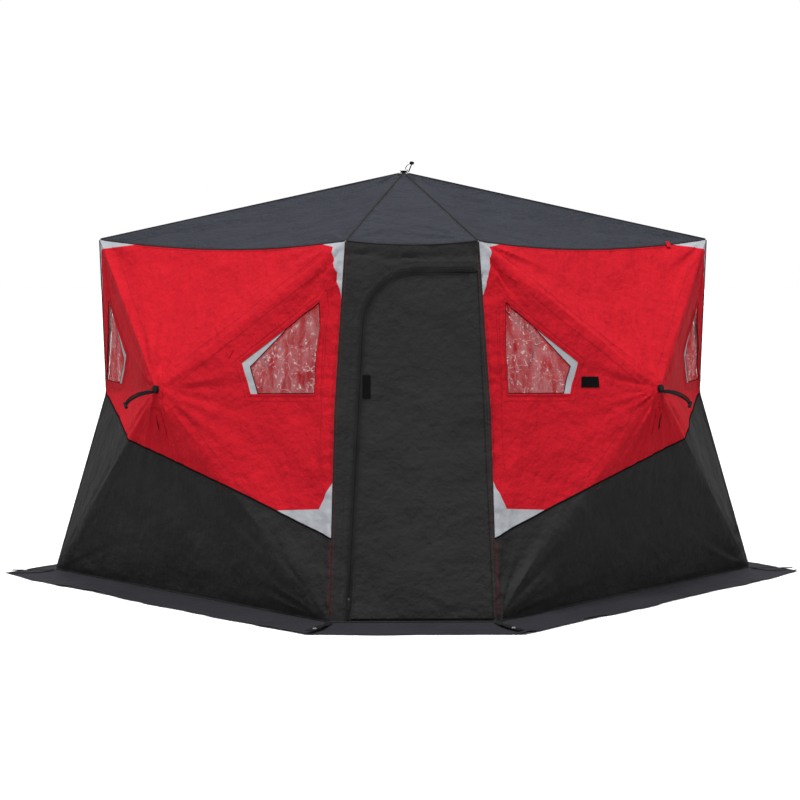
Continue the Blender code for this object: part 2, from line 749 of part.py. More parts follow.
def main():
    clear_scene()
    dark = make_material("black_fabric", (0.030, 0.030, 0.033), 0.75)
    red = make_material("red_fabric", (0.550, 0.020, 0.030), 0.70)
    grey = make_material("roof_fabric", (0.055, 0.060, 0.072), 0.60)
    film = make_material("window_film", (0.600, 0.630, 0.660), 0.10)
    plastic = make_material("hub_plastic", (0.020, 0.020, 0.022), 0.45)
    rod = make_material("fibreglass", (0.070, 0.070, 0.075), 0.35)
    webbing = make_material("webbing", (0.018, 0.018, 0.018), 0.85)
    metal = make_material("zip_metal", (0.420, 0.420, 0.430), 0.35, 1.0)
    make_roof(grey)
    make_skirt(dark)
    for end in (-1, 1):
        make_door_surround(end, dark)
        make_door_flap(end, dark)
        make_zipper_slider(end, metal)
        for side in (-1, 1):
            make_wall(side, end, red, film)
            make_wall_frame(side, end, plastic, rod, webbing)
            name = "corner_pocket_" + wall_name(side, end)
            make_corner_pocket(name, eave_door_corner(side, end), pocket_neighbours(side, end), webbing)
    for side, name in ((-1, "corner_pocket_left"), (1, "corner_pocket_right")):
        make_corner_pocket(name, eave_side_corner(side), pocket_neighbours(side, 0), webbing)
    make_roof_frame(plastic, rod, webbing)


main()
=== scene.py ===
"""The looks of a six-sided hub shelter for ice fishing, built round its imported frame.

Metres, +Z up, front door facing -Y. Every stretched sheet is a height field over the plane of its
corners, so seams, bands, windows and stitches can all be laid on it by flat (u, v) positions.
"""
import math

import bpy
import numpy as np
from mathutils import Matrix, Vector
from mathutils.geometry import delaunay_2d_cdt
from mathutils.kdtree import KDTree


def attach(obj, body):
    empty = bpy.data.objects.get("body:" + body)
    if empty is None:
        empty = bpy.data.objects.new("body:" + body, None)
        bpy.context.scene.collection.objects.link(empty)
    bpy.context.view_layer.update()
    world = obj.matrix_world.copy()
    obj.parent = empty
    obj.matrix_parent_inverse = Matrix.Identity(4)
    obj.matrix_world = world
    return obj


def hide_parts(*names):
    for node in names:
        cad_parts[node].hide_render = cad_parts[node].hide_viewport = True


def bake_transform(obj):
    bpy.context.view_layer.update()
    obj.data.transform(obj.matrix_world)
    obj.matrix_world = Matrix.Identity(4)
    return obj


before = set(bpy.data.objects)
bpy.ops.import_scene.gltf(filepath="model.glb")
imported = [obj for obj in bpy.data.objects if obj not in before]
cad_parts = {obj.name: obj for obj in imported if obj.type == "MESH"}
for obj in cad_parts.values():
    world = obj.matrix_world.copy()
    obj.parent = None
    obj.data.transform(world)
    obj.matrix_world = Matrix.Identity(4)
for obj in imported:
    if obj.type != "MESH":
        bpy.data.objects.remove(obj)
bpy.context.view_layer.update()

# Driving dimensions of the cabin, as in the CAD.
EAVE_HEIGHT = 1.694
APEX_HEIGHT = 2.030
EAVE_CORNER_RADIUS = 1.533
EAVE_DOOR_HALF_WIDTH = 0.293
BASE_CORNER_RADIUS = 1.773
BASE_DOOR_HALF_WIDTH = 0.367
WALL_HUB = (1.180, 0.964, 0.998)
WALL_EAVE_SAG = 0.045
DOOR_EAVE_SAG = 0.018
SIDE_SEAM_BOW = 0.138
SIDE_SEAM_BOW_HEIGHT = 0.920
DOOR_SEAM_BOW = 0.016
DOOR_SEAM_BOW_HEIGHT = 0.950
BASE_SEAM_HEIGHT = 0.0215
HUB_HOLE_RADIUS = 0.016
DOOR_ARCH_RADIUS = 0.250
DOOR_ARCH_CENTRE = (0.030, 1.320)
ZIP_FOOT = (-0.2885, 0.030)
ZIP_GAP = 0.012
DOOR_HINGE_INSET = 0.012
DOOR_HINGE_GAP = 0.004
DOOR_FOOT = 0.036
SKIRT_WIDTH = 0.235
SKIRT_FLAT_START = 0.120
SKIRT_RISE = 0.018
SKIRT_TUCK = 0.015
SKIRT_MITRE = 1.10
EYELET_PLACE = 0.150
PIN_CIRCLE = 0.036
PIN_DEPTH = -0.043
TONGUE_LENGTH = 0.019
TONGUE_RADIUS = 0.0058
FERRULE_RADIUS = 0.0085
FERRULE_END = 0.062
ROD_RADIUS = 0.0055
JOINT_RADIUS = 0.0072
JOINT_HALF = 0.04
TIP_RADIUS = 0.007
TIP_LENGTH = 0.026
TIP_CLEARANCE = 0.004
EAVE_INSET = 0.030
BASE_INSET = 0.040
BASE_TIP_LIFT = 0.026

# Window corners as shares of the way from the hub to the seam's top and to its bow.
DOOR_SIDE_WINDOW = ((0.624, 0.256), (0.218, 0.262), (0.036, 0.495), (0.078, 0.811))
CORNER_SIDE_WINDOW = ((0.593, 0.282), (0.229, 0.333), (0.052, 0.645), (0.080, 0.898))

# Thicknesses of the visible cloth, and the spacing of its mesh.
CLOTH = 0.0014
CLOTH_SPACING = 0.0115
TRIM = 0.0009
BACKING = 0.0012
STITCH_LIFT = 0.0004
ROOF_SPACING = 0.018
DOOR_SPACING = 0.014
LEAF_SPACING = 0.016
SLEEVE_WIDTH = 0.045
SLEEVE_START = 0.10
SLEEVE_STOP = 0.965
UPPER_SLEEVE_STOP = 0.90

UP = np.array((0.0, 0.0, 1.0))
FAR = 9.0


# Small vector and noise helpers. Points are rows of numpy arrays.

def unit(vector):
    return vector / np.linalg.norm(vector)


def mix(a, b, share):
    return a + (b - a) * share


def smooth(value):
    value = np.clip(value, 0, 1)
    return value * value * (3 - 2 * value)


def noise(points, seed):
    """Smooth value noise from -1 to 1, with one feature in each unit cell."""
    cell = np.floor(points).astype(np.int64)
    share = smooth(points - cell)

    def lattice(dx, dy):
        h = (cell[:, 0] + dx) * 374761393 + (cell[:, 1] + dy) * 668265263 + seed * 974711
        h = (h ^ (h >> 13)) * 1274126177
        return ((h ^ (h >> 16)) & 0xffff) / 32767.5 - 1

    low = mix(lattice(0, 0), lattice(1, 0), share[:, 0])
    high = mix(lattice(0, 1), lattice(1, 1), share[:, 0])
    return mix(low, high, share[:, 1])


def resample(points, spacing):
    """The same polyline with its corners kept and no step longer than the spacing."""
    out = [points[0]]
    for a, b in zip(points, points[1:]):
        steps = max(1, int(math.ceil(np.linalg.norm(b - a) / spacing)))
        out += [mix(a, b, i / steps) for i in range(1, steps + 1)]
    return np.array(out)


def inside(points, polygon):
    """Which 2-D points are inside a closed polygon."""
    found = np.zeros(len(points), bool)
    x, y = points[:, 0], points[:, 1]
    for (x0, y0), (x1, y1) in zip(polygon, np.roll(polygon, -1, axis=0)):
        crosses = (y0 > y) != (y1 > y)
        rise = y1 - y0 if y1 != y0 else 1e-12
        found ^= crosses & (x < x0 + (y - y0) * (x1 - x0) / rise)
    return found


def circle(radius, count=32):
    """Points round a 2-D circle."""
    angles = 2 * math.pi * np.arange(count) / count
    return radius * np.stack([np.cos(angles), np.sin(angles)], axis=1)


def offset_outline(points, distance):
    """Move every edge of a closed 2-D outline outwards."""
    ahead = np.roll(points, -1, axis=0) - points
    area = np.sum(points[:, 0] * np.roll(points[:, 1], -1) - np.roll(points[:, 0], -1) * points[:, 1])
    normal = np.stack([ahead[:, 1], -ahead[:, 0]], axis=1) * np.sign(area)
    normal /= np.linalg.norm(normal, axis=1)[:, None]
    before = np.roll(normal, 1, axis=0)
    turn = 1 + np.sum(normal * before, axis=1)
    return points + (normal + before) / turn[:, None] * distance


def offset_path(path, distance):
    """Move an open 2-D path to its left."""
    ahead = np.gradient(path, axis=0)
    ahead /= np.linalg.norm(ahead, axis=1)[:, None]
    return path + np.stack([-ahead[:, 1], ahead[:, 0]], axis=1) * distance


# Materials.

def add_node(tree, kind, settings=None, **inputs):
    made = tree.nodes.new(kind)
    for key, value in (settings or {}).items():
        setattr(made, key, value)
    for key, value in inputs.items():
        socket = made.inputs[key.replace("_", " ")]
        if isinstance(value, bpy.types.NodeSocket):
            tree.links.new(value, socket)
        else:
            socket.default_value = value
    return made


def arithmetic(tree, operation, first, second=None, clamp=False):
    """The result of a Math node on two sockets or values."""
    made = add_node(tree, "ShaderNodeMath", {"operation": operation, "use_clamp": clamp})
    for socket, value in zip(made.inputs, (first, second)):
        if isinstance(value, bpy.types.NodeSocket):
            tree.links.new(value, socket)
        elif value is not None:
            socket.default_value = value
    return made.outputs[0]


def spread_out(tree, value, low, high, start, stop):
    """A value between low and high, mapped to lie between start and stop."""
    made = add_node(tree, "ShaderNodeMapRange", Value=value, From_Min=low, From_Max=high, To_Min=start,
                    To_Max=stop)
    return made.outputs["Result"]


def principled(name, color, roughness, **values):
    material = bpy.data.materials.new(name)
    material.use_nodes = True
    shader = material.node_tree.nodes["Principled BSDF"]
    shader.inputs["Base Color"].default_value = (*color, 1)
    shader.inputs["Roughness"].default_value = roughness
    for key, value in values.items():
        shader.inputs[key.replace("_", " ")].default_value = value
    return material, material.node_tree, shader


def mottled(tree, shader, vector, color, scale, spread, dust):
    """Colour that drifts a little, with a paler dusty share on top."""
    drift = add_node(tree, "ShaderNodeTexNoise", Vector=vector, Scale=scale, Detail=5.0, Roughness=0.6)
    ramp = add_node(tree, "ShaderNodeValToRGB", Fac=drift.outputs["Fac"])
    dark = [c * (1 - spread) for c in color]
    pale = [c * (1 + spread) + dust for c in color]
    ramp.color_ramp.elements[0].position = 0.30
    ramp.color_ramp.elements[0].color = (*dark, 1)
    ramp.color_ramp.elements[1].position = 0.72
    ramp.color_ramp.elements[1].color = (*pale, 1)
    tree.links.new(ramp.outputs["Color"], shader.inputs["Base Color"])
    return drift


def fabric(name, color, roughness, sheen, dust=0.0, crinkle=0.5, weave=0.35, spread=0.10):
    """Coated woven cloth: crossed threads, small crinkles and a soft sheen."""
    material, tree, shader = principled(name, color, roughness, Sheen_Weight=sheen, Sheen_Roughness=0.35,
                                        Specular_IOR_Level=0.05, IOR=1.2)
    place = add_node(tree, "ShaderNodeTexCoord")
    drift = mottled(tree, shader, place.outputs["Object"], color, 3.5, spread, dust)
    rough = add_node(tree, "ShaderNodeMapRange", Value=drift.outputs["Fac"], To_Min=roughness - 0.07,
                     To_Max=roughness + 0.07)
    tree.links.new(rough.outputs["Result"], shader.inputs["Roughness"])
    threads = [add_node(tree, "ShaderNodeTexWave", {"bands_direction": direction, "wave_profile": "SIN"},
                        Vector=place.outputs["UV"], Scale=150.0, Distortion=0.6, Detail=1.0).outputs["Fac"]
               for direction in ("X", "Y")]
    cross = arithmetic(tree, "MAXIMUM", *threads)
    fine = add_node(tree, "ShaderNodeTexNoise", Vector=place.outputs["Object"], Scale=34.0, Detail=6.0,
                    Roughness=0.58, Distortion=0.1)
    broad = add_node(tree, "ShaderNodeTexNoise", Vector=place.outputs["Object"], Scale=6.0, Detail=2.0,
                     Distortion=0.1)
    broad_bump = add_node(tree, "ShaderNodeBump", Height=broad.outputs["Fac"], Strength=crinkle,
                          Distance=0.050)
    fine_bump = add_node(tree, "ShaderNodeBump", Height=fine.outputs["Fac"], Strength=crinkle,
                         Distance=0.020, Normal=broad_bump.outputs["Normal"])
    weave_bump = add_node(tree, "ShaderNodeBump", Height=cross, Strength=weave, Distance=0.0004,
                          Normal=fine_bump.outputs["Normal"])
    tree.links.new(weave_bump.outputs["Normal"], shader.inputs["Normal"])
    return material


def grained(name, color, roughness, scale, depth, metallic=0.0, spread=0.15, gloss=0.4):
    """Moulded or cast surface with a fine grain and slightly worn colour."""
    material, tree, shader = principled(name, color, roughness, Metallic=metallic, Specular_IOR_Level=gloss)
    place = add_node(tree, "ShaderNodeTexCoord")
    mottled(tree, shader, place.outputs["Object"], color, scale * 0.15, spread, 0.004)
    grain = add_node(tree, "ShaderNodeTexNoise", Vector=place.outputs["Object"], Scale=scale, Detail=4.0)
    bump = add_node(tree, "ShaderNodeBump", Height=grain.outputs["Fac"], Strength=0.5, Distance=depth)
    tree.links.new(bump.outputs["Normal"], shader.inputs["Normal"])
    return material


# The width of one band of a wave texture whose scale is 1.
WAVE_PERIOD = 0.314


def ribbed(name, color, wavelength, depth, direction="Y", roughness=0.8):
    """Webbing, zip tape or wrapped thread, ribbed across its length."""
    material, tree, shader = principled(name, color, roughness, Specular_IOR_Level=0.12)
    place = add_node(tree, "ShaderNodeTexCoord")
    mottled(tree, shader, place.outputs["Object"], color, 12.0, 0.2, 0.003)
    wave = add_node(tree, "ShaderNodeTexWave", {"bands_direction": direction}, Vector=place.outputs["UV"],
                    Scale=WAVE_PERIOD / wavelength, Distortion=0.3)
    bump = add_node(tree, "ShaderNodeBump", Height=wave.outputs["Fac"], Strength=0.8, Distance=depth)
    tree.links.new(bump.outputs["Normal"], shader.inputs["Normal"])
    return material


def clear_film():
    """Clear window film, a little milky, with crease bumps and painted highlights: thin pale lines and sparks
    along the creases, drawn by raising the film's opacity.
    """
    material, tree, shader = principled("window_film_look", (0.78, 0.60, 0.61), 0.10,
                                        Specular_IOR_Level=0.8, Coat_Weight=0.5, Coat_Roughness=0.05)
    place = add_node(tree, "ShaderNodeTexCoord").outputs["Object"]
    drawn = add_node(tree, "ShaderNodeMapping", Vector=place, Scale=(26.0, 26.0, 6.0),
                     Rotation=(0.35, 0.25, 0.0))
    crease = add_node(tree, "ShaderNodeTexNoise", Vector=drawn.outputs["Vector"], Scale=1.0, Detail=3.0,
                      Roughness=0.5, Distortion=0.5).outputs["Fac"]
    bump = add_node(tree, "ShaderNodeBump", Height=crease, Strength=1.0, Distance=0.014)
    tree.links.new(bump.outputs["Normal"], shader.inputs["Normal"])
    haze = add_node(tree, "ShaderNodeTexNoise", Vector=place, Scale=9.0, Detail=2.0).outputs["Fac"]
    spark = add_node(tree, "ShaderNodeTexNoise", Vector=place, Scale=60.0, Detail=3.0).outputs["Fac"]
    bent = add_node(tree, "ShaderNodeTexNoise", Vector=place, Scale=13.0, Detail=2.5, Roughness=0.6,
                    Distortion=1.1).outputs["Fac"]
    milky = arithmetic(tree, "ADD", spread_out(tree, crease, 0.38, 0.64, 0.0, 0.10),
                       spread_out(tree, haze, 0.35, 0.65, 0.01, 0.06))
    # Painted highlight: sparks of opacity where the crease noise is high.
    painted_glints = arithmetic(tree, "MULTIPLY", spread_out(tree, spark, 0.60, 0.70, 0.0, 1.0),
                        spread_out(tree, crease, 0.50, 0.62, 0.0, 0.70))
    # Painted highlight: a crease shows as a thin pale line where its noise passes the middle, broken up by
    # the finer noise.
    beside = arithmetic(tree, "ABSOLUTE", arithmetic(tree, "SUBTRACT", bent, 0.5))
    lines = arithmetic(tree, "MULTIPLY", spread_out(tree, beside, 0.002, 0.010, 0.75, 0.0),
                       spread_out(tree, spark, 0.44, 0.56, 0.0, 1.0))
    painted_highlights = arithmetic(tree, "MAXIMUM", painted_glints, lines)
    tree.links.new(arithmetic(tree, "ADD", milky, painted_highlights, clamp=True), shader.inputs["Alpha"])
    return material


RED = fabric("red_cloth", (0.55, 0.0130, 0.0240), 0.50, 0.0, crinkle=0.55, spread=0.06)
BLACK = fabric("black_cloth", (0.0305, 0.0296, 0.0302), 0.52, 0.02, crinkle=0.52)
SILVER = fabric("silver_cloth", (0.42, 0.435, 0.465), 0.42, 0.0, crinkle=0.22, spread=0.05)
ROOF = fabric("roof_cloth", (0.0285, 0.0305, 0.0400), 0.50, 0.03, crinkle=0.60)
SKIRT = fabric("skirt_cloth", (0.0290, 0.0284, 0.0345), 0.58, 0.03, crinkle=0.50)
FILM = clear_film()
WEBBING = ribbed("webbing_look", (0.010, 0.010, 0.0105), 0.0022, 0.0005)
ZIP_TAPE = ribbed("zip_tape_look", (0.0115, 0.0115, 0.012), 0.0030, 0.0006, roughness=0.7)
COIL = ribbed("zip_coil_look", (0.010, 0.010, 0.011), 0.0030, 0.0012, roughness=0.40)
HOOK_LOOP_AND_SLIT_SHADE = grained("hook_and_loop_look", (0.0045, 0.0045, 0.0048), 0.95, 900.0, 0.0012, gloss=0.02)
DARK_THREAD = ribbed("dark_thread_look", (0.022, 0.022, 0.024), 0.0012, 0.0003, roughness=0.6)
RED_THREAD = ribbed("red_thread_look", (0.24, 0.0055, 0.0095), 0.0012, 0.0003, roughness=0.6)
PLASTIC = grained("hub_plastic_look", (0.008, 0.008, 0.009), 0.50, 700.0, 0.0004, gloss=0.15)
FIBREGLASS = grained("fibreglass_look", (0.070, 0.070, 0.075), 0.30, 260.0, 0.0003)
METAL = grained("zip_metal_look", (0.028, 0.028, 0.030), 0.45, 500.0, 0.0002, metallic=0.8)
EYELET = grained("eyelet_look", (0.55, 0.55, 0.56), 0.28, 500.0, 0.0002, metallic=1.0)


# Meshes. A shape is (points, faces, uvs); a piece is one object made of several shapes.

class Piece:
    """Closed shapes gathered into one object."""

    def __init__(self):
        self.points, self.faces, self.uvs, self.slots = [], [], [], []
        self.count = 0

    def add(self, points, faces, uvs, slots=0):
        self.points.append(points)
        self.uvs.append(uvs)
        self.faces += [[i + self.count for i in face] for face in faces]
        self.slots += list(slots) if hasattr(slots, "__len__") else [slots] * len(faces)
        self.count += len(points)

    def make(self, name, materials, carrier):
        mesh = bpy.data.meshes.new(name)
        mesh.from_pydata(np.concatenate(self.points).tolist(), [], self.faces)
        for material in materials:
            mesh.materials.append(material)
        mesh.polygons.foreach_set("material_index", self.slots)
        uvs = np.concatenate(self.uvs)
        loops = np.zeros(len(mesh.loops), np.int32)
        mesh.loops.foreach_get("vertex_index", loops)
        mesh.uv_layers.new(name="cloth").data.foreach_set("uv", uvs[loops].astype(np.float32).ravel())
        mesh.shade_smooth()
        mesh.set_sharp_from_angle(angle=math.radians(42))
        obj = bpy.data.objects.new(name, mesh)
        bpy.context.scene.collection.objects.link(obj)
        if isinstance(carrier, str):
            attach(obj, carrier)
        else:
            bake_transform(obj)
        return obj


class Surface:
    """A sheet over the plane through origin spanned by across and rising, with heights along normal."""

    def __init__(self, origin, across, rising, relief, boundary=None):
        self.origin, self.across, self.rising = (np.array(v, float) for v in (origin, across, rising))
        self.normal = np.cross(self.across, self.rising)
        self.relief = relief
        self.rim = None
        if boundary is not None:
            fine = resample(np.array(list(boundary) + [boundary[0]]), 0.004)
            flat = self.flat(fine)
            angle = np.arctan2(flat[:, 1], flat[:, 0])
            order = np.argsort(angle)
            height = (fine - self.origin) @ self.normal
            self.rim = (angle[order], np.linalg.norm(flat, axis=1)[order], height[order])

    def flat(self, points):
        """(u, v) of points in space."""
        away = np.atleast_2d(points) - self.origin
        return np.stack([away @ self.across, away @ self.rising], axis=1)

    def share(self, uv):
        """How far each point is from the peak to the rim, 0 to 1."""
        angle = np.arctan2(uv[:, 1], uv[:, 0])
        return np.linalg.norm(uv, axis=1) / np.interp(angle, self.rim[0], self.rim[1], period=2 * math.pi)

    def at(self, uv, lift=0.0):
        """Points in space on the sheet, lifted off it."""
        uv = np.atleast_2d(uv)
        height = self.relief(self, uv) + lift
        if self.rim is not None:
            angle = np.arctan2(uv[:, 1], uv[:, 0])
            height = height + self.share(uv) * np.interp(angle, self.rim[0], self.rim[2], period=2 * math.pi)
        return self.origin + uv[:, :1] * self.across + uv[:, 1:] * self.rising + height[:, None] * self.normal


def triangles_in(outline, lines, spacing, holes=()):
    """Even triangles inside a 2-D outline, with edges along the lines and round the holes."""
    loops = [resample(np.append(loop, loop[:1], axis=0), spacing) for loop in (outline, *holes)]
    loops += [resample(np.array(line), spacing) for line in lines]
    points = []
    edges = []
    for loop in loops:
        start = len(points)
        points += loop.tolist()
        edges += [(start + i, start + i + 1) for i in range(len(loop) - 1)]
    tree = KDTree(len(points))
    for i, point in enumerate(points):
        tree.insert((*point, 0), i)
    tree.balance()
    low, high = outline.min(0), outline.max(0)
    rows = np.arange(low[1], high[1], spacing * 0.866)
    grid = []
    for i, v in enumerate(rows):
        us = np.arange(low[0] + (i % 2) * spacing / 2, high[0], spacing)
        grid.append(np.stack([us, np.full(len(us), v)], axis=1))
    grid = np.concatenate(grid)
    grid = grid[inside(grid, outline)]
    grid = [p for p in grid.tolist() if tree.find((*p, 0))[2] > spacing * 0.6]
    made = delaunay_2d_cdt([Vector(p) for p in points + grid], edges, [], 0, 1e-6)
    flat = np.array([tuple(p) for p in made[0]])
    faces = np.array(made[2])
    middle = flat[faces].mean(axis=1)
    keep = inside(middle, outline)
    for hole in holes:
        keep &= ~inside(middle, hole)
    faces = faces[keep]
    a, b, c = (flat[faces[:, i]] for i in range(3))
    turned = (b[:, 0] - a[:, 0]) * (c[:, 1] - a[:, 1]) - (b[:, 1] - a[:, 1]) * (c[:, 0] - a[:, 0]) < 0
    faces[turned] = faces[turned][:, ::-1]
    used, faces = np.unique(faces, return_inverse=True)
    return flat[used], faces.reshape(-1, 3)


def thicken(surface, flat, faces, lift, thickness):
    """A closed sheet: the top at lift, the underside below it, and a wall round every open edge."""
    count = len(flat)
    points = np.concatenate([surface.at(flat, lift), surface.at(flat, lift - thickness)])
    edges = {}
    for a, b, c in faces.tolist():
        for edge in ((a, b), (b, c), (c, a)):
            edges[edge] = True
    rim = [(b, a) for a, b in edges if (b, a) not in edges]
    whole = faces.tolist() + (faces[:, ::-1] + count).tolist()
    whole += [[a, b, b + count, a + count] for a, b in rim]
    return points, whole, np.concatenate([flat, flat])


def cloth(piece, surface, outline, lines=(), holes=(), lift=0.0, thickness=CLOTH, spacing=CLOTH_SPACING,
          paint=None):
    """Add a cloth sheet to a piece. paint gives each flat point its material's number."""
    flat, faces = triangles_in(np.array(outline), lines, spacing, [np.array(h) for h in holes])
    points, whole, uvs = thicken(surface, flat, faces, lift, thickness)
    slots = [0] * len(whole)
    if paint:
        numbers = paint(flat[faces].mean(axis=1))
        slots = list(numbers) * 2 + [int(numbers[0])] * (len(whole) - 2 * len(faces))
    piece.add(points, whole, uvs, slots)
    edge = np.linalg.norm(np.cross(points[faces[:, 1]] - points[faces[:, 0]],
                                   points[faces[:, 2]] - points[faces[:, 0]]), axis=1)
    return edge.sum() / 2


def rings_to_shape(rings, uvs, closed=False):
    """Faces between rings of equal length, with flat ends unless the run is closed."""
    rings = np.array(rings)
    count, sides = rings.shape[:2]
    faces = []
    for i in range(count if closed else count - 1):
        j = (i + 1) % count
        for k in range(sides):
            m = (k + 1) % sides
            faces.append([i * sides + k, i * sides + m, j * sides + m, j * sides + k])
    if not closed:
        faces.append(list(range(sides))[::-1])
        faces.append([(count - 1) * sides + k for k in range(sides)])
    return rings.reshape(-1, 3), faces, np.array(uvs).reshape(-1, 2)


def lengths(path):
    return np.concatenate([[0], np.cumsum(np.linalg.norm(np.diff(path, axis=0), axis=1))])


def add_tube(piece, path, radius, sides=8, closed=False, slot=0):
    """A round tube along a path in space; the radius may change along it."""
    path = np.array(path)
    ahead = np.roll(path, -1, axis=0) - np.roll(path, 1, axis=0) if closed else np.gradient(path, axis=0)
    ahead /= np.linalg.norm(ahead, axis=1)[:, None]
    radius = np.broadcast_to(radius, len(path))
    out = unit(np.cross(ahead[0], UP if abs(ahead[0][2]) < 0.9 else np.array((1.0, 0, 0))))
    along = lengths(path)
    rings = []
    uvs = []
    for i, point in enumerate(path):
        out = unit(out - ahead[i] * (out @ ahead[i]))
        beside = np.cross(ahead[i], out)
        angles = 2 * math.pi * np.arange(sides) / sides
        rings.append(point + radius[i] * (np.outer(np.cos(angles), out) + np.outer(np.sin(angles), beside)))
        uvs.append([(radius[i] * a, along[i]) for a in angles])
    points, faces, flat = rings_to_shape(rings, uvs, closed)
    piece.add(points, faces, flat, slot)


def add_strip(piece, surface, path, width, lift=TRIM, thickness=TRIM, spacing=0.02, slot=0, crown=0.0):
    """A flat strip of tape or cloth laid along a 2-D path on a surface."""
    path = resample(np.array(path), spacing)
    half = np.broadcast_to(width, len(path))[:, None] / 2 if np.ndim(width) == 0 else None
    if half is None:
        along = lengths(path)
        half = np.interp(along / along[-1], np.linspace(0, 1, len(width)), width)[:, None] / 2
    ahead = np.gradient(path, axis=0)
    ahead /= np.linalg.norm(ahead, axis=1)[:, None]
    left = np.stack([-ahead[:, 1], ahead[:, 0]], axis=1) * half
    section = ((left, lift - thickness), (left, lift), (0 * left, lift + crown), (-left, lift),
               (-left, lift - thickness))
    rings = np.stack([surface.at(path + aside, height) for aside, height in section], axis=1)
    along = lengths(path)
    uvs = [[(x, y) for x in np.linspace(-half[i, 0], half[i, 0], 5)] for i, y in enumerate(along)]
    points, faces, flat = rings_to_shape(rings, uvs)
    piece.add(points, [face[::-1] for face in faces], flat, slot)


def add_stitches(piece, surface, path, pitch=0.011, length=0.0075, width=0.0016, height=0.0010,
                 lift=STITCH_LIFT):
    """A row of raised stitches along a 2-D path."""
    path = np.array(path)
    along = lengths(path)
    starts = np.arange(pitch / 2, along[-1] - length, pitch)

    def on_path(distance):
        return np.stack([np.interp(distance, along, path[:, k]) for k in (0, 1)], axis=1)

    a, b = on_path(starts), on_path(starts + length)
    ahead = (b - a) / np.linalg.norm(b - a, axis=1)[:, None]
    side = np.stack([-ahead[:, 1], ahead[:, 0]], axis=1) * width / 2
    inset = ahead * length * 0.18
    rings = []
    for shift, narrow, level in ((0 * inset, 1.0, lift), (inset, 0.6, lift + height)):
        rings += [surface.at(flat, level) for flat in (a + shift + side * narrow, a + shift - side * narrow,
                                                       b - shift - side * narrow, b - shift + side * narrow)]
    points = np.stack(rings, axis=1).reshape(-1, 3)
    block = [(0, 3, 2, 1), (4, 5, 6, 7), (0, 1, 5, 4), (1, 2, 6, 5), (2, 3, 7, 6), (3, 0, 4, 7)]
    faces = [[8 * i + k for k in face] for i in range(len(starts)) for face in block]
    piece.add(points, faces, np.repeat(a, 8, axis=0))


# The cabin's corners and edges. side and end are -1 or +1: the wall's side in X and in Y.

def door_corner(side, end, radius, half_width, height):
    """A corner beside a door, on the circle of the given radius."""
    return np.array((side * half_width, end * math.sqrt(radius ** 2 - half_width ** 2), height))


def eave_side_corner(side):
    return np.array((side * EAVE_CORNER_RADIUS, 0, EAVE_HEIGHT))


def eave_door_corner(side, end):
    return door_corner(side, end, EAVE_CORNER_RADIUS, EAVE_DOOR_HALF_WIDTH, EAVE_HEIGHT)


def base_side_corner(side):
    return np.array((side * BASE_CORNER_RADIUS, 0, 0.0))


def base_door_corner(side, end):
    return door_corner(side, end, BASE_CORNER_RADIUS, BASE_DOOR_HALF_WIDTH, 0.0)


def bowed(low, high, height, bow, bow_height):
    """A point on a seam from low to high that is drawn aside by bow, most at the bow's height."""
    above = (EAVE_HEIGHT - height) / (EAVE_HEIGHT - bow_height)
    share = height / bow_height if height < bow_height else above
    return mix(low, high, height / EAVE_HEIGHT) + np.array((bow * share, 0, 0))


def side_seam(side, height):
    """A point on the seam between two wide walls, which the tension bows inwards."""
    return bowed(base_side_corner(side), eave_side_corner(side), height, -side * SIDE_SEAM_BOW,
                 SIDE_SEAM_BOW_HEIGHT)


def door_seam(side, end, height):
    """A point on the seam between a wide wall and a door panel."""
    return bowed(base_door_corner(side, end), eave_door_corner(side, end), height, side * DOOR_SEAM_BOW,
                 DOOR_SEAM_BOW_HEIGHT)


def wall_hub_point(side, end):
    return np.array(WALL_HUB) * (side, end, 1)


def wall_normal(side, end):
    rising = eave_side_corner(side) - base_door_corner(side, end)
    crossing = eave_door_corner(side, end) - base_side_corner(side)
    normal = unit(np.cross(rising, crossing))
    return normal if normal[0] * side > 0 else -normal


def wall_eave(side, end, shares):
    """Points on a wide wall's sagging eave, by share from its side corner to its door corner."""
    inward = -unit(np.array((side * WALL_HUB[0], end * WALL_HUB[1], 0)))
    shares = np.atleast_1d(shares)[:, None]
    chord = mix(eave_side_corner(side), eave_door_corner(side, end), shares)
    return chord + (inward - UP) * WALL_EAVE_SAG * 4 * shares * (1 - shares)


def door_frame(end):
    """Origin, across, up-slope and outward of a door panel, from the middle of its foot."""
    foot = np.array((0, base_door_corner(1, end)[1], 0.0))
    slope = unit(np.array((0, eave_door_corner(1, end)[1], EAVE_HEIGHT)) - foot)
    across = np.array((-end, 0.0, 0.0))
    return foot, across, slope, np.cross(across, slope)


def door_eave(end, shares):
    """Points on the eave over a door, by share from the panel's left corner as seen from outside."""
    slope = door_frame(end)[2]
    shares = np.atleast_1d(shares)[:, None]
    chord = mix(eave_door_corner(end, end), eave_door_corner(-end, end), shares)
    return chord - slope * DOOR_EAVE_SAG * 4 * shares * (1 - shares)


def wall_name(side, end):
    return ("front" if end < 0 else "back") + ("_left" if side < 0 else "_right")


STEPS = np.linspace(0, 1, 33)


def wall_boundary(side, end):
    points = list(wall_eave(side, end, STEPS)[:-1])
    points += [door_seam(side, end, z) for z in (EAVE_HEIGHT, DOOR_SEAM_BOW_HEIGHT, BASE_SEAM_HEIGHT)]
    points += [side_seam(side, z) for z in (BASE_SEAM_HEIGHT, SIDE_SEAM_BOW_HEIGHT)]
    return points


def roof_boundary():
    points = []
    for side, end, outward in ((1, -1, 1), (-1, -1, -1), (-1, 1, 1), (1, 1, -1)):
        run = wall_eave(side, end, STEPS)
        points += list(run[:-1] if outward > 0 else run[::-1][:-1])
        if outward > 0:
            span = door_eave(end, STEPS)
            points += list(span[:-1] if end > 0 else span[::-1][:-1])
    return points


# Relief of each kind of sheet: how far it stands off its stretched form.

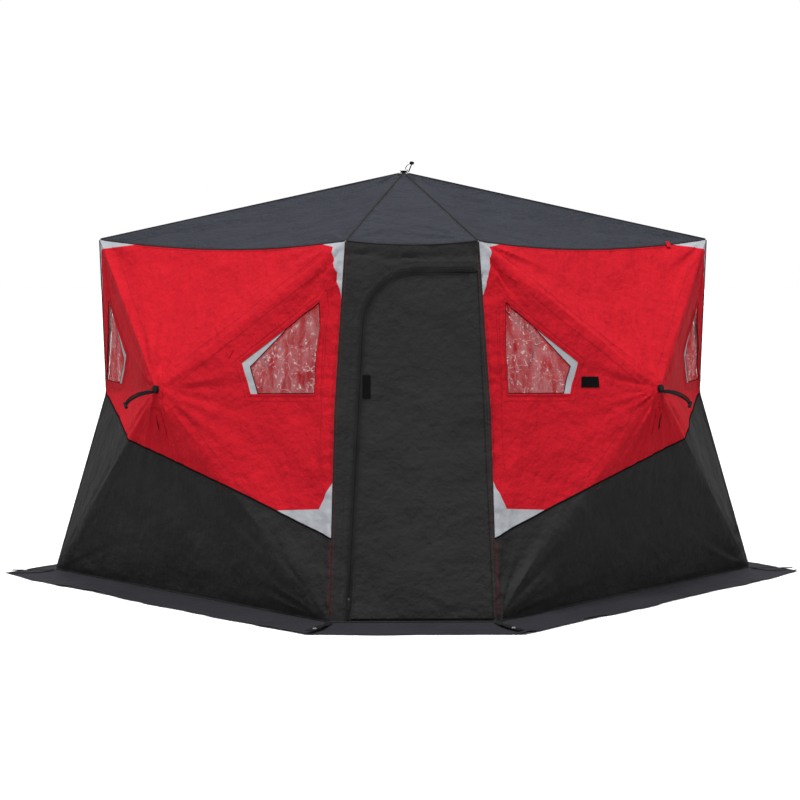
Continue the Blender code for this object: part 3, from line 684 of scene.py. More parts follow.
def corner_wrinkles(uv, corner, seed, height, spread, spokes):
    """Straight creases that run out of a corner and die away."""
    away = uv - corner
    reach = np.linalg.norm(away, axis=1)
    angle = np.arctan2(away[:, 1], away[:, 0])
    lines = noise(np.stack([angle * spokes, np.log(reach + 0.05) * 0.8], axis=1), seed)
    crease = 0.55 * lines + 0.45 * (1 - 2.2 * np.abs(lines))
    return height * crease * np.exp(-reach / spread) * smooth(reach / 0.27)


def seam_puckers(uv, seam, seed, height, pitch, depth):
    """Short puckers that run square to a sewn seam."""
    total = np.zeros(len(uv))
    for a, b in zip(seam, seam[1:]):
        ahead = unit(b - a)
        along = (uv - a) @ ahead
        off = np.abs((uv - a) @ np.array((-ahead[1], ahead[0])))
        beside = (along > 0) & (along < np.linalg.norm(b - a))
        wave = noise(np.stack([along / pitch, off / (5 * pitch)], axis=1), seed)
        total += np.where(beside, height * wave * np.exp(-off / depth) * smooth(off / 0.012), 0)
    return total


def fold_distance(uv, folds):
    """Distance to the nearest of the rays from the peak, and the place along it."""
    nearest = np.full(len(uv), FAR)
    place = np.zeros(len(uv))
    for i, fold in enumerate(folds):
        along = uv @ unit(fold)
        beside = np.abs(uv[:, 0] * unit(fold)[1] - uv[:, 1] * unit(fold)[0])
        nearer = (along > 0) & (beside < nearest)
        nearest = np.where(nearer, beside, nearest)
        place = np.where(nearer, along + 5 * i, place)
    return nearest, place


def peaked_relief(folds, corners, seams, seed, dip, undulation):
    """Relief of a sheet pushed out by a hub: dished between its poles, wrinkled from corners and seams.

    corners holds each corner with the strength of its wrinkles.
    """
    def relief(surface, uv):
        share = surface.share(uv)
        gap, place = fold_distance(uv, folds)
        calm = smooth(gap / 0.026) * smooth((1.0 - share) / 0.040)
        reach = np.linalg.norm(uv, axis=1)
        angle = np.arctan2(uv[:, 1], uv[:, 0])
        total = -dip * smooth(gap / 0.30) * 4 * share * (1 - share)
        total = total + undulation * noise(uv / 0.30 + 7.1 * seed, seed)
        total = total + 0.7 * undulation * noise(uv / 0.11 + 3.7 * seed, seed + 1)
        total = total + 0.45 * undulation * noise(uv / 0.045 + 1.3 * seed, seed + 3)
        fan = noise(np.stack([angle * 9, np.log(reach + 0.05)], axis=1), seed + 2)
        total = total + 0.0150 * fan * smooth(reach / 0.09) * np.exp(-reach / 0.32)
        for i, (corner, strength) in enumerate(corners):
            total = total + corner_wrinkles(uv, corner, seed + 10 + i, 0.0300 * strength, 0.36, 5.5)
            total = total + corner_wrinkles(uv, corner, seed + 20 + i, 0.0170 * strength, 0.32, 10.5)
        total = total * calm
        for i, seam in enumerate(seams):
            total = total + seam_puckers(uv, seam, seed + 30 + i, 0.0052, 0.022, 0.070) * smooth(gap / 0.02)
        pull = 0.0026 * noise(np.stack([place / 0.022, gap / 0.05], axis=1), seed + 40)
        beside = np.exp(-((gap - SLEEVE_WIDTH) / 0.018) ** 2)
        return total + pull * beside * smooth((1.0 - share) / 0.04)
    return relief


def panel_relief(seed, head, half_width):
    """Relief of a flat door panel: broad waves, and creases drawn from its top corners."""
    def relief(surface, uv):
        edge = smooth((half_width - np.abs(uv[:, 0])) / 0.06) * smooth((head - uv[:, 1]) / 0.05)
        edge = edge * smooth((uv[:, 1] - 0.01) / 0.08)
        total = 0.0050 * noise(uv / np.array((0.22, 0.55)) + seed, seed)
        total = total + 0.0026 * noise(uv / np.array((0.10, 0.16)) + seed, seed + 1)
        drift = 0.012 * noise(np.stack([uv[:, 0] / 0.09, uv[:, 0] * 0], axis=1), seed + 4)
        crease = np.exp(-((uv[:, 1] - (head - 0.068) - drift) / 0.014) ** 2)
        total = total - 0.0075 * crease * (1 + 0.6 * noise(uv / 0.05, seed + 2))
        top = np.exp(-(head - uv[:, 1]) / 0.10)
        total = total + 0.0040 * top * noise(uv / np.array((0.045, 0.020)), seed + 3)
        for sign in (-1, 1):
            corner = np.array((sign * half_width, head))
            total = total + corner_wrinkles(uv, corner, seed + 5 + sign, 0.0070, 0.22, 9)
            foot = np.array((sign * half_width, 0.0))
            total = total + corner_wrinkles(uv, foot, seed + 8 + sign, 0.0075, 0.30, 8)
        total = total + 0.0022 * noise(uv / np.array((0.16, 0.035)), seed + 12) * np.exp(-uv[:, 1] / 0.35)
        return total * edge
    return relief


# Walls.

WALL_DIP = 0.007
WALL_UNDULATION = 0.0040
RED_FOOT_HEIGHT = 0.386
SIDE_FOLD_SHARE = 0.26
DOOR_FOLD_SHARE = 0.43
EDGE_STITCH_SHARE = 0.985
FILM_OVERLAP = 0.014
FILM_LIFT = -0.0045
FILM_THICKNESS = 0.0006
FILM_SPACING = 0.0095
COVER_OVERLAP = 0.022
COVER_LIFT = -0.019
WINDOW_LOOP = 0.032
HUB_PATCH_REACH = 0.058
CORNER_PULLS = (0.60, 1.10, 0.55, 1.10)
POCKET_DROP = 0.150
POCKET_ASIDE = 0.020
POCKET_HALF_SIZE = (0.046, 0.060)


class Wall:
    """One wide wall: its surface, its fold lines and its named flat points."""

    def __init__(self, side, end):
        self.side, self.end = side, end
        self.name = wall_name(side, end)
        self.hub = wall_hub_point(side, end)
        normal = wall_normal(side, end)
        across = unit(np.cross(UP, normal))
        rising = np.cross(normal, across)
        corners = {"upper_side": eave_side_corner(side), "upper_door": eave_door_corner(side, end),
                   "lower_side": side_seam(side, BASE_SEAM_HEIGHT),
                   "lower_door": door_seam(side, end, BASE_SEAM_HEIGHT)}
        self.flat = {key: self.uv_of(p, across, rising) for key, p in corners.items()}
        folds = list(self.flat.values())
        seed = 40 + 3 * side + 9 * end
        seams = [[self.uv_of(door_seam(side, end, z), across, rising) for z in
                  (EAVE_HEIGHT, DOOR_SEAM_BOW_HEIGHT, BASE_SEAM_HEIGHT)],
                 [self.uv_of(side_seam(side, z), across, rising) for z in
                  (EAVE_HEIGHT, SIDE_SEAM_BOW_HEIGHT, BASE_SEAM_HEIGHT)]]
        pulls = list(zip(folds, CORNER_PULLS))
        self.across, self.rising = across, rising
        self.surface = self.sheet(peaked_relief(folds, pulls, seams, seed, WALL_DIP, WALL_UNDULATION))
        self.outline = self.surface.flat(np.array(wall_boundary(side, end)))
        depth = (self.hub - eave_side_corner(side)) @ normal
        self.normal = normal
        self.carrier = ("shell", self.name + "_hub", tuple(self.hub - normal * depth), tuple(self.hub))

    def sheet(self, relief):
        """A surface over the wall's plane and rim."""
        return Surface(self.hub, self.across, self.rising, relief, wall_boundary(self.side, self.end))

    def uv_of(self, point, across, rising):
        return np.array(((point - self.hub) @ across, (point - self.hub) @ rising))

    def uv(self, point):
        return self.surface.flat(point)[0]

    def door_seam(self, height):
        return self.uv(door_seam(self.side, self.end, height))

    def side_seam(self, height):
        return self.uv(side_seam(self.side, height))

    def eave(self, share):
        return self.uv(wall_eave(self.side, self.end, share)[0])

    def window(self, place):
        """The four corners of a window's opening."""
        top, bow, shares = "upper_side", self.side_seam(SIDE_SEAM_BOW_HEIGHT), CORNER_SIDE_WINDOW
        if place == "door":
            top, bow, shares = "upper_door", self.door_seam(DOOR_SEAM_BOW_HEIGHT), DOOR_SIDE_WINDOW
        return np.array([self.flat[top] * up + bow * over for up, over in shares])

    def view_of_window(self, place):
        """The clear part of a window, and the silver band beside it."""
        head, tip, low, far = self.window(place)
        start = mix(head, tip, 0.433)
        inner = tip + 0.105 * (far - low) + 0.115 * (low - tip)
        foot = mix(low, far, 0.106)
        return np.array([head, start, inner, foot, far]), np.array([start, tip, low, foot, inner])

    def parallel(self, fold, distance, start, stop):
        """A line beside a fold, on the side of the given sign, between shares of the fold."""
        ray = self.flat[fold]
        beside = np.array((-ray[1], ray[0])) / np.linalg.norm(ray) * distance
        return [ray * start + beside, ray * stop + beside]


def red_border(wall):
    """The line between the red and the black cloth, from the side seam to the door seam."""
    return [wall.side_seam(SIDE_SEAM_BOW_HEIGHT), wall.flat["lower_side"] * SIDE_FOLD_SHARE,
            wall.flat["lower_door"] * DOOR_FOLD_SHARE, wall.door_seam(RED_FOOT_HEIGHT)]


def red_area(wall):
    eave = [wall.eave(s) for s in STEPS]
    return np.array(eave + [wall.door_seam(DOOR_SEAM_BOW_HEIGHT)] + red_border(wall)[::-1])


def silver_areas(wall):
    """Corner patches and window bands."""
    border = wall.door_seam(RED_FOOT_HEIGHT)
    fold = wall.flat["lower_door"] * DOOR_FOLD_SHARE
    start = mix(fold, border, 0.475)
    seam_top = wall.door_seam(0.644)
    inner = mix(border, seam_top, 0.37)
    inner = inner + unit(fold - border) * 0.085
    foot_patch = [start, inner, seam_top, border]
    head = wall.flat["upper_door"]
    pinch = mix(head, wall.eave(0.90), 0.42) + (wall.door_seam(1.60) - head) * 0.24
    head_patch = [wall.eave(s) for s in np.linspace(1, 0.90, 5)] + [pinch, wall.door_seam(1.417)]
    corner = wall.flat["upper_side"]
    pinch = wall.side_seam(1.640) + unit(head - corner) * 0.024
    side_patch = [wall.eave(s) for s in np.linspace(0, 0.155, 6)] + [pinch, wall.side_seam(1.360)]
    bands = [wall.view_of_window(place)[1] for place in ("door", "corner")]
    return [np.array(area) for area in (foot_patch, head_patch, side_patch)] + bands


def build_wall(wall):
    folds = list(wall.flat.values())
    hole = circle(HUB_HOLE_RADIUS)
    red = red_area(wall)
    silver = silver_areas(wall)
    views = [wall.view_of_window(place)[0] for place in ("door", "corner")]
    lines = [[unit(ray) * HUB_HOLE_RADIUS, ray] for ray in folds]
    lines.append(red_border(wall))
    lines += [list(area) + [area[0]] for area in silver]

    def paint(middle):
        number = np.where(inside(middle, red), 0, 1)
        for area in silver:
            number = np.where(inside(middle, area), 2, number)
        return number

    piece = Piece()
    area = cloth(piece, wall.surface, wall.outline, lines, [hole] + views, paint=paint)
    made = piece.make(wall.name + "_wall_cloth", [RED, BLACK, SILVER], wall.carrier)
    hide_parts(wall.name + "_wall")


def build_window(wall, place):
    """The clear film behind an opening, with deep creases."""
    outline = wall.window(place)
    grown = offset_outline(outline, FILM_OVERLAP)
    seed = 71 + 5 * wall.side + 2 * wall.end + (3 if place == "door" else 0)
    slope = unit(outline[1] - outline[0])

    def relief(surface, uv):
        base = wall.surface.relief(surface, uv)
        turned = np.stack([uv @ slope, uv @ np.array((-slope[1], slope[0]))], axis=1)
        crease = 0.55 * noise(turned / np.array((0.10, 0.034)), seed) + 0.45 * noise(uv / 0.030, seed + 1)
        ridge = 1 - np.abs(noise(uv / 0.060 + 2.0, seed + 2)) * 2
        nearest = np.full(len(uv), FAR)
        for a, b in zip(outline, np.roll(outline, -1, axis=0)):
            share = np.clip((uv - a) @ (b - a) / ((b - a) @ (b - a)), 0, 1)
            nearest = np.minimum(nearest, np.linalg.norm(uv - a - share[:, None] * (b - a), axis=1))
        hold = smooth(nearest / 0.035) * inside(uv, outline)
        return base + 0.0048 * (crease + 0.6 * ridge) * hold

    surface = wall.sheet(relief)
    piece = Piece()
    area = cloth(piece, surface, grown, lift=FILM_LIFT, thickness=FILM_THICKNESS, spacing=FILM_SPACING)
    node = f"{wall.name}_window_{place}_side"
    made = piece.make(node + "_film", [FILM], wall.carrier)
    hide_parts(node)
    if wall.end > 0:
        cover = Piece()
        area = cloth(cover, wall.surface, offset_outline(outline, COVER_OVERLAP), lift=COVER_LIFT,
                     thickness=BACKING)
        made = cover.make(node + "_cover", [RED], wall.carrier)


def build_wall_trim(wall):
    """Seams, stitching, bands and patches that are sewn to a wall."""
    red = Piece()
    black = Piece()
    red_thread = Piece()
    dark_thread = Piece()
    surface = wall.surface
    for place in ("door", "corner"):
        opening = wall.window(place)
        view = wall.view_of_window(place)[0]
        for ring, width, lift, piece in ((offset_outline(view, -0.0015), 0.0035, 0.0012, black),
                                         (offset_outline(opening, 0.0045), 0.0075, 0.0022, red)):
            for a, b in zip(ring, np.roll(ring, -1, axis=0)):
                add_strip(piece, surface, [a, b], width, lift=lift, crown=0.0008)
        head, tip = opening[:2]
        outward = unit(np.array((-(tip - head)[1], (tip - head)[0])))
        if outward @ (opening[2] - tip) > 0:
            outward = -outward
        hood = [head + outward * 0.016, tip + outward * 0.016]
        add_strip(red, surface, hood, 0.013, lift=0.0022, crown=0.002)
        loop = offset_outline(opening, WINDOW_LOOP)
        add_stitches(red_thread, surface, [*loop, loop[0]])
    splits = {"lower_side": SIDE_FOLD_SHARE, "lower_door": DOOR_FOLD_SHARE, "upper_side": UPPER_SLEEVE_STOP,
              "upper_door": UPPER_SLEEVE_STOP}
    for fold, split in splits.items():
        for sign in (1, -1):
            line = wall.parallel(fold, sign * SLEEVE_WIDTH, SLEEVE_START, SLEEVE_STOP)
            middle = mix(line[0], line[1], (split - SLEEVE_START) / (SLEEVE_STOP - SLEEVE_START))
            add_stitches(red_thread, surface, [line[0], middle], width=0.0022)
            if fold.startswith("lower"):
                add_stitches(dark_thread, surface, [middle, line[1]])
    # The border between the red and the black cloth is a lapped seam.
    border = red_border(wall)
    for a, b in zip(border, border[1:]):
        down = np.array((0.0, -0.004))
        add_strip(black, surface, [a + down, b + down], 0.008, lift=0.0014, crown=0.0008)
        add_stitches(dark_thread, surface, [a + down * 3.5, b + down * 3.5])
    # Stitching beside the two seams, the eave and the base.
    centre = -unit(wall.door_seam(0.9))
    for high, low, count, insets, width in ((1.38, 0.66, 20, (0.010, 0.018, 0.075), 0.0016),
                                            (0.37, 0.05, 8, (0.007, 0.013), 0.0011)):
        seam = [wall.door_seam(z) for z in np.linspace(high, low, count)]
        for inset in insets:
            add_stitches(red_thread, surface, [p + centre * inset for p in seam], width=width)
    foot = [mix(wall.flat["lower_side"], wall.flat["lower_door"], s) for s in np.linspace(0.02, 0.98, 40)]
    rows = ((red_thread, [wall.eave(s) for s in np.linspace(0.17, 0.89, 40)]),
            (red_thread, [wall.side_seam(z) for z in np.linspace(1.35, 0.94, 12)]),
            (dark_thread, [wall.side_seam(z) for z in np.linspace(0.90, 0.06, 12)]),
            (dark_thread, foot))
    for thread, row in rows:
        add_stitches(thread, surface, [p * EDGE_STITCH_SHARE for p in row])
    build_hub_patch(wall, red, red_thread)
    build_pocket(wall, red, black, red_thread)
    opening = wall.window("door")
    beside = unit(opening[2] - opening[3])
    if wall.side * wall.end < 0:
        # On the hinge side: a hook-and-loop patch that holds the door open, and a tab under the eave.
        start = opening[2] + beside * 0.072 + np.array((0.0, 0.052))
        add_strip(black, surface, [start, start + beside * 0.104], 0.050, lift=0.0026, thickness=0.0018)
        place = wall.eave(0.17)
        tab = [place + (0, -0.012), place + (0, 0.004), place + (0, 0.016)]
        add_strip(red, surface, tab, (0.034, 0.030, 0.024), lift=0.010, thickness=0.0022, spacing=0.006)
    else:
        # On the zip side: a folded loop of red cloth beyond the window's tip.
        tip = opening[1] + beside * 0.075 + np.array((0.0, 0.034))
        for foot in (beside * -0.014, beside * 0.014):
            leg = [tip + foot + (0, 0.030), tip + (0, -0.006)]
            add_strip(red, surface, leg, (0.013, 0.010, 0.008), lift=0.0040, thickness=0.0030, spacing=0.006,
                      crown=0.001)
    red.make(wall.name + "_red_trim", [RED], wall.carrier)
    black.make(wall.name + "_black_trim", [HOOK_LOOP_AND_SLIT_SHADE], wall.carrier)
    red_thread.make(wall.name + "_red_stitches", [RED_THREAD], wall.carrier)
    dark_thread.make(wall.name + "_dark_stitches", [DARK_THREAD], wall.carrier)


def build_hub_patch(wall, red, thread):
    """A second layer of cloth round the hub's hole, between the folds."""
    rays = sorted(wall.flat.values(), key=lambda ray: math.atan2(ray[1], ray[0]))
    for a, b in zip(rays, rays[1:] + rays[:1]):
        low, high = unit(a) * HUB_PATCH_REACH, unit(b) * HUB_PATCH_REACH
        middle = mix(low, high, 0.5)
        shrink = 0.93
        corners = [low * 0.42 + middle * 0.06, low * shrink + middle * 0.05, high * shrink + middle * 0.05,
                   high * 0.42 + middle * 0.06]
        cloth(red, wall.surface, corners, lift=0.0016, thickness=0.0014, spacing=0.011)
        add_stitches(thread, wall.surface, [mix(low, middle, 0.14) * 0.90, mix(high, middle, 0.14) * 0.90],
                     pitch=0.008, length=0.005, lift=0.0017)


def build_pocket(wall, red, black, thread):
    """A gathered patch with a slit under the hub, where the guy line comes out."""
    middle = np.array((POCKET_ASIDE * -wall.side * wall.end, -POCKET_DROP))
    half = np.array(POCKET_HALF_SIZE)

    def relief(surface, uv):
        off = (uv - middle) / half
        aside, aloft = np.abs(off).T
        gather = np.cos(off[:, 0] * 9.5 + 1.2 * noise(uv / 0.03, 90)) * (1 - np.clip(aside, 0, 1) ** 2)
        pull = 0.0034 * gather * (0.45 + 0.55 * aloft) * smooth((1.02 - aloft) / 0.2)
        lips = 0.0050 * np.exp(-((aside - 0.17) / 0.12) ** 2) * smooth((0.85 - aloft) / 0.3)
        return wall.surface.relief(surface, uv) + pull + lips

    surface = wall.sheet(relief)
    corners = [middle + half * corner for corner in ((-0.78, 1), (0.78, 1), (1, -1), (-1, -1))]
    cloth(red, surface, corners, lift=0.0040, thickness=0.0016, spacing=0.0055)
    # The slit is not cut open: a near-black sheet laid on the patch is the painted shade of its opening.
    slit = ((0.10, 0.62), (0.16, 0.2), (0.19, -0.3), (0.12, -0.72), (0.02, -0.5), (-0.02, 0.0), (0.02, 0.4))
    slit = [middle + half * point for point in slit]
    cloth(black, surface, slit, lift=0.0052, thickness=0.0008, spacing=0.006)
    for row in (0.90, -0.90):
        line = [middle + half * (-0.74, row), middle + half * (0.74, row)]
        add_stitches(thread, surface, line, pitch=0.008, length=0.0055, lift=0.0040)


# Poles: each takes the place of its CAD pole.

def inset_corner(corner):
    towards_axis = -unit(np.array((corner[0], corner[1], 0)))
    if corner[2] > 0:
        return corner + unit(towards_axis - UP * 0.8) * EAVE_INSET
    return corner + towards_axis * BASE_INSET + UP * (BASE_SEAM_HEIGHT + BASE_TIP_LIFT)


def build_pole(name, hub, normal, corner, hub_body):
    """A pole with ferrule and tip."""
    target = inset_corner(corner)
    away = target - hub
    outward = unit(away - normal * (away @ normal))
    pin = hub + outward * PIN_CIRCLE + normal * PIN_DEPTH
    reach = target - pin
    size = np.linalg.norm(reach)
    swing = math.asin(-(reach @ normal) / size)
    length = size - 2 * size * (1 - math.cos(swing)) - TIP_CLEARANCE
    along = unit(reach)
    middle = length / 2
    stops = [(0.0, TONGUE_RADIUS), (TONGUE_LENGTH, TONGUE_RADIUS), (TONGUE_LENGTH, FERRULE_RADIUS),
             (FERRULE_END, FERRULE_RADIUS), (FERRULE_END, ROD_RADIUS)]
    stops += [(s, ROD_RADIUS) for s in np.linspace(FERRULE_END + 0.03, middle - 0.05, 9)]
    stops += [(middle - JOINT_HALF, ROD_RADIUS), (middle - JOINT_HALF, JOINT_RADIUS),
              (middle + JOINT_HALF, JOINT_RADIUS), (middle + JOINT_HALF, ROD_RADIUS)]
    stops += [(s, ROD_RADIUS) for s in np.linspace(middle + 0.07, length - TIP_LENGTH, 9)]
    stops += [(length - TIP_LENGTH, TIP_RADIUS), (length - 0.006, TIP_RADIUS), (length - 0.002, 0.0055),
              (length, 0.0025)]
    piece = Piece()
    line = [pin + along * (s + 1e-4 * i) for i, (s, r) in enumerate(stops)]
    add_tube(piece, line, [r for s, r in stops], 10)
    start = hub + normal * (away @ normal)
    finish = hub + normal * PIN_DEPTH
    carrier = ("shell", hub_body, tuple(start), tuple(finish))
    made = piece.make(name + "_rod", [FIBREGLASS], carrier)
    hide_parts(name)


# Webbing straps on the hubs.

def bezier(points, count):
    """A smooth curve through the points (Catmull-Rom)."""
    points = np.array(points, float)
    padded = np.concatenate([[2 * points[0] - points[1]], points, [2 * points[-1] - points[-2]]])
    out = []
    for i in range(len(points) - 1):
        a, b, c, d = padded[i:i + 4]
        for t in np.linspace(0, 1, count, endpoint=False):
            out.append(0.5 * (2 * b + (c - a) * t + (2 * a - 5 * b + 4 * c - d) * t * t
                              + (3 * b - a - 3 * c + d) * t ** 3))
    out.append(points[-1])
    return np.array(out)


STUD_LOOP_RADIUS = 0.0135
STUD_LOOP_HEIGHT = 0.0046
STUD_LOOP_THICKNESS = 0.0021
STRAND_THICKNESS = 0.0015
GRIP_LIFT = 0.0044
# Lift, half width and bow of each of the strap's two strands.
STRANDS = ((0.0026, 0.0070, 0.0), (0.0045, 0.0040, 0.0200))
# Places along half of the grip, with its radius there.
GRIP_HALF = ((0.0, 0.0082), (0.0030, 0.0074), (0.0060, 0.0082), (0.0090, 0.0074), (0.0110, 0.0084),
             (0.0140, 0.0080), (0.0155, 0.0062), (0.0160, 0.0030))


def build_strap(name, matrix, path):
    """A folded webbing loop round the hub's stud, with a moulded grip at its end."""
    place = np.array(matrix)

    def put(points):
        return points @ place[:3, :3].T + place[:3, 3]

    curve = bezier(path, 6)
    ahead = np.gradient(curve, axis=0)
    ahead /= np.linalg.norm(ahead, axis=1)[:, None]
    across = np.stack([-ahead[:, 1], ahead[:, 0]], axis=1)
    along = lengths(curve)
    web = Piece()
    for lift, half, bulge in STRANDS:
        rings = []
        uvs = []
        for i, (point, out) in enumerate(zip(curve, across)):
            rise = lift + bulge * math.sin(math.pi * along[i] / along[-1])
            low = point + out * rise
            high = point + out * (rise + STRAND_THICKNESS)
            ys = (-half, -half * 0.9, half * 0.9, half)
            ring = [(low[0], -half, low[1]), (high[0], -half * 0.97, high[1]),
                    (high[0], half * 0.97, high[1]), (low[0], half, low[1])]
            rings.append(put(np.array(ring)))
            uvs.append([(y, along[i]) for y in ys])
        web.add(*rings_to_shape(rings, uvs))
    ring = circle(STUD_LOOP_RADIUS)
    ring = put(np.column_stack([ring, np.full(len(ring), STUD_LOOP_HEIGHT)]))
    add_tube(web, ring, STUD_LOOP_THICKNESS, 8, closed=True)
    end = curve[-1] + across[-1] * GRIP_LIFT
    grip = [(-y, r) for y, r in GRIP_HALF[:0:-1]] + list(GRIP_HALF)
    add_tube(web, put(np.array([(end[0], y, end[1]) for y, r in grip])), [r for y, r in grip], 14, slot=1)
    made = web.make(name + "_webbing", [WEBBING, PLASTIC], name)
    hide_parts(name)


walls = [Wall(side, end) for end in (-1, 1) for side in (-1, 1)]
for wall in walls:
    build_wall(wall)
    for place in ("door", "corner"):
        build_window(wall, place)
    build_wall_trim(wall)
    corners = {"upper_side": eave_side_corner(wall.side), "upper_door": eave_door_corner(wall.side, wall.end),
               "lower_side": base_side_corner(wall.side), "lower_door": base_door_corner(wall.side, wall.end)}
    for place, corner in corners.items():
        build_pole(f"{wall.name}_pole_{place}", wall.hub, wall.normal, corner, wall.name + "_hub")


# Roof.

ROOF_CORNER_PULL = 0.55
ROOF_DIP = 0.012
ROOF_UNDULATION = 0.0036
ROOF_CAP_RADIUS = 0.030
ROOF_CAP_WIDTH = 0.024
PIPING_RADIUS = 0.0032

peak = np.array((0, 0, APEX_HEIGHT))
roof_edge = roof_boundary()
roof_corners = [eave_side_corner(1), eave_side_corner(-1)]
roof_corners += [eave_door_corner(side, end) for side in (-1, 1) for end in (-1, 1)]
roof_rays = [corner[:2] for corner in roof_corners]
roof_relief = peaked_relief(roof_rays, [(ray, ROOF_CORNER_PULL) for ray in roof_rays], [], 5, ROOF_DIP,
                            ROOF_UNDULATION)
roof_surface = Surface(peak, (1, 0, 0), (0, 1, 0), roof_relief, roof_edge)
roof_carrier = ("shell", "roof_hub", (0, 0, EAVE_HEIGHT), (0, 0, APEX_HEIGHT))


def build_roof():
    piece = Piece()
    outline = np.array(roof_edge)[:, :2]
    lines = [[unit(ray) * HUB_HOLE_RADIUS, ray] for ray in roof_rays]
    area = cloth(piece, roof_surface, outline, lines, [circle(HUB_HOLE_RADIUS)], spacing=ROOF_SPACING)
    made = piece.make("roof_canopy_cloth", [ROOF], roof_carrier)
    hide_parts("roof_canopy")
    trim = Piece()
    thread = Piece()
    for ray in roof_rays:
        line = resample(np.array([unit(ray) * 0.024, ray * 0.997]), 0.05)
        add_tube(trim, roof_surface.at(line, 0.0012), PIPING_RADIUS)
        beside = np.array((-ray[1], ray[0])) / np.linalg.norm(ray)
        for distance in (-0.011, 0.011):
            add_stitches(thread, roof_surface, line[1:-1] + beside * distance)
    add_strip(trim, roof_surface, circle(ROOF_CAP_RADIUS), ROOF_CAP_WIDTH, lift=0.0022, thickness=0.0015)
    rim = np.array([p * 0.988 for p in outline])
    add_stitches(thread, roof_surface, np.append(rim, rim[:1], axis=0))
    trim.make("roof_piping", [BLACK], roof_carrier)
    thread.make("roof_stitches", [DARK_THREAD], roof_carrier)
    names = ["right", "left", "front_left", "back_left", "front_right", "back_right"]
    for corner, place in zip(roof_corners, names):
        build_pole("roof_pole_" + place, peak, UP, corner, "roof_hub")


build_roof()


# Door panels. A panel's own plane has x to the right seen from outside, and h up the slope.

PANEL_HEAD = math.hypot(EAVE_HEIGHT, base_door_corner(1, 1)[1] - eave_door_corner(1, 1)[1])
BOW_SHARE = DOOR_SEAM_BOW_HEIGHT / EAVE_HEIGHT
PANEL_BOW = (BOW_SHARE * PANEL_HEAD,
             mix(BASE_DOOR_HALF_WIDTH, EAVE_DOOR_HALF_WIDTH, BOW_SHARE) + DOOR_SEAM_BOW)


def panel_half_width(height):
    widths = (BASE_DOOR_HALF_WIDTH, PANEL_BOW[1], EAVE_DOOR_HALF_WIDTH)
    return np.interp(height, (0, PANEL_BOW[0], PANEL_HEAD), widths)


def hinge_x(height):
    """The straight hinge line, inside the right-hand seam's two ends."""
    head = DOOR_ARCH_CENTRE[1] + DOOR_ARCH_RADIUS
    return mix(BASE_DOOR_HALF_WIDTH, panel_half_width(head), height / head) - DOOR_HINGE_INSET


def door_line():
    """The zip's line as far as the hinge, then the hinge line."""
    angles = np.linspace(math.pi, math.pi / 2, 25)
    arch = np.array(DOOR_ARCH_CENTRE) + DOOR_ARCH_RADIUS * np.stack([np.cos(angles), np.sin(angles)], axis=1)
    head = DOOR_ARCH_CENTRE[1] + DOOR_ARCH_RADIUS
    return np.array([ZIP_FOOT, *arch, (hinge_x(head), head), (hinge_x(ZIP_FOOT[1]), ZIP_FOOT[1])])


def door_edge(distance, hinge_shift, foot):
    """The door line moved across the zip, with its hinge side and its foot set."""
    edge = offset_outline(door_line(), distance)
    for i in (-2, -1):
        edge[i, 0] = hinge_x(edge[i, 1]) + hinge_shift
    edge[0, 1] = edge[-1, 1] = foot
    return edge


LEAF_RECESS = 0.0036
TAPE_OFFSET = 0.0080
TAPE_WIDTH = 0.0120
COIL_OFFSET = 0.0014
COIL_RADIUS = 0.0014
FACING_OFFSET = 0.033
FACING_WIDTH = 0.026
HEM_WIDTH = 0.024
TAB_HEIGHT = 1.058
TAB_HALF_LENGTH = 0.052
TAB_WIDTH = 0.036
HINGE_TRIM_WIDTH = 0.011
GAP_SHADE_HEIGHT = 0.058
GAP_SHADE_WIDTH = 0.072


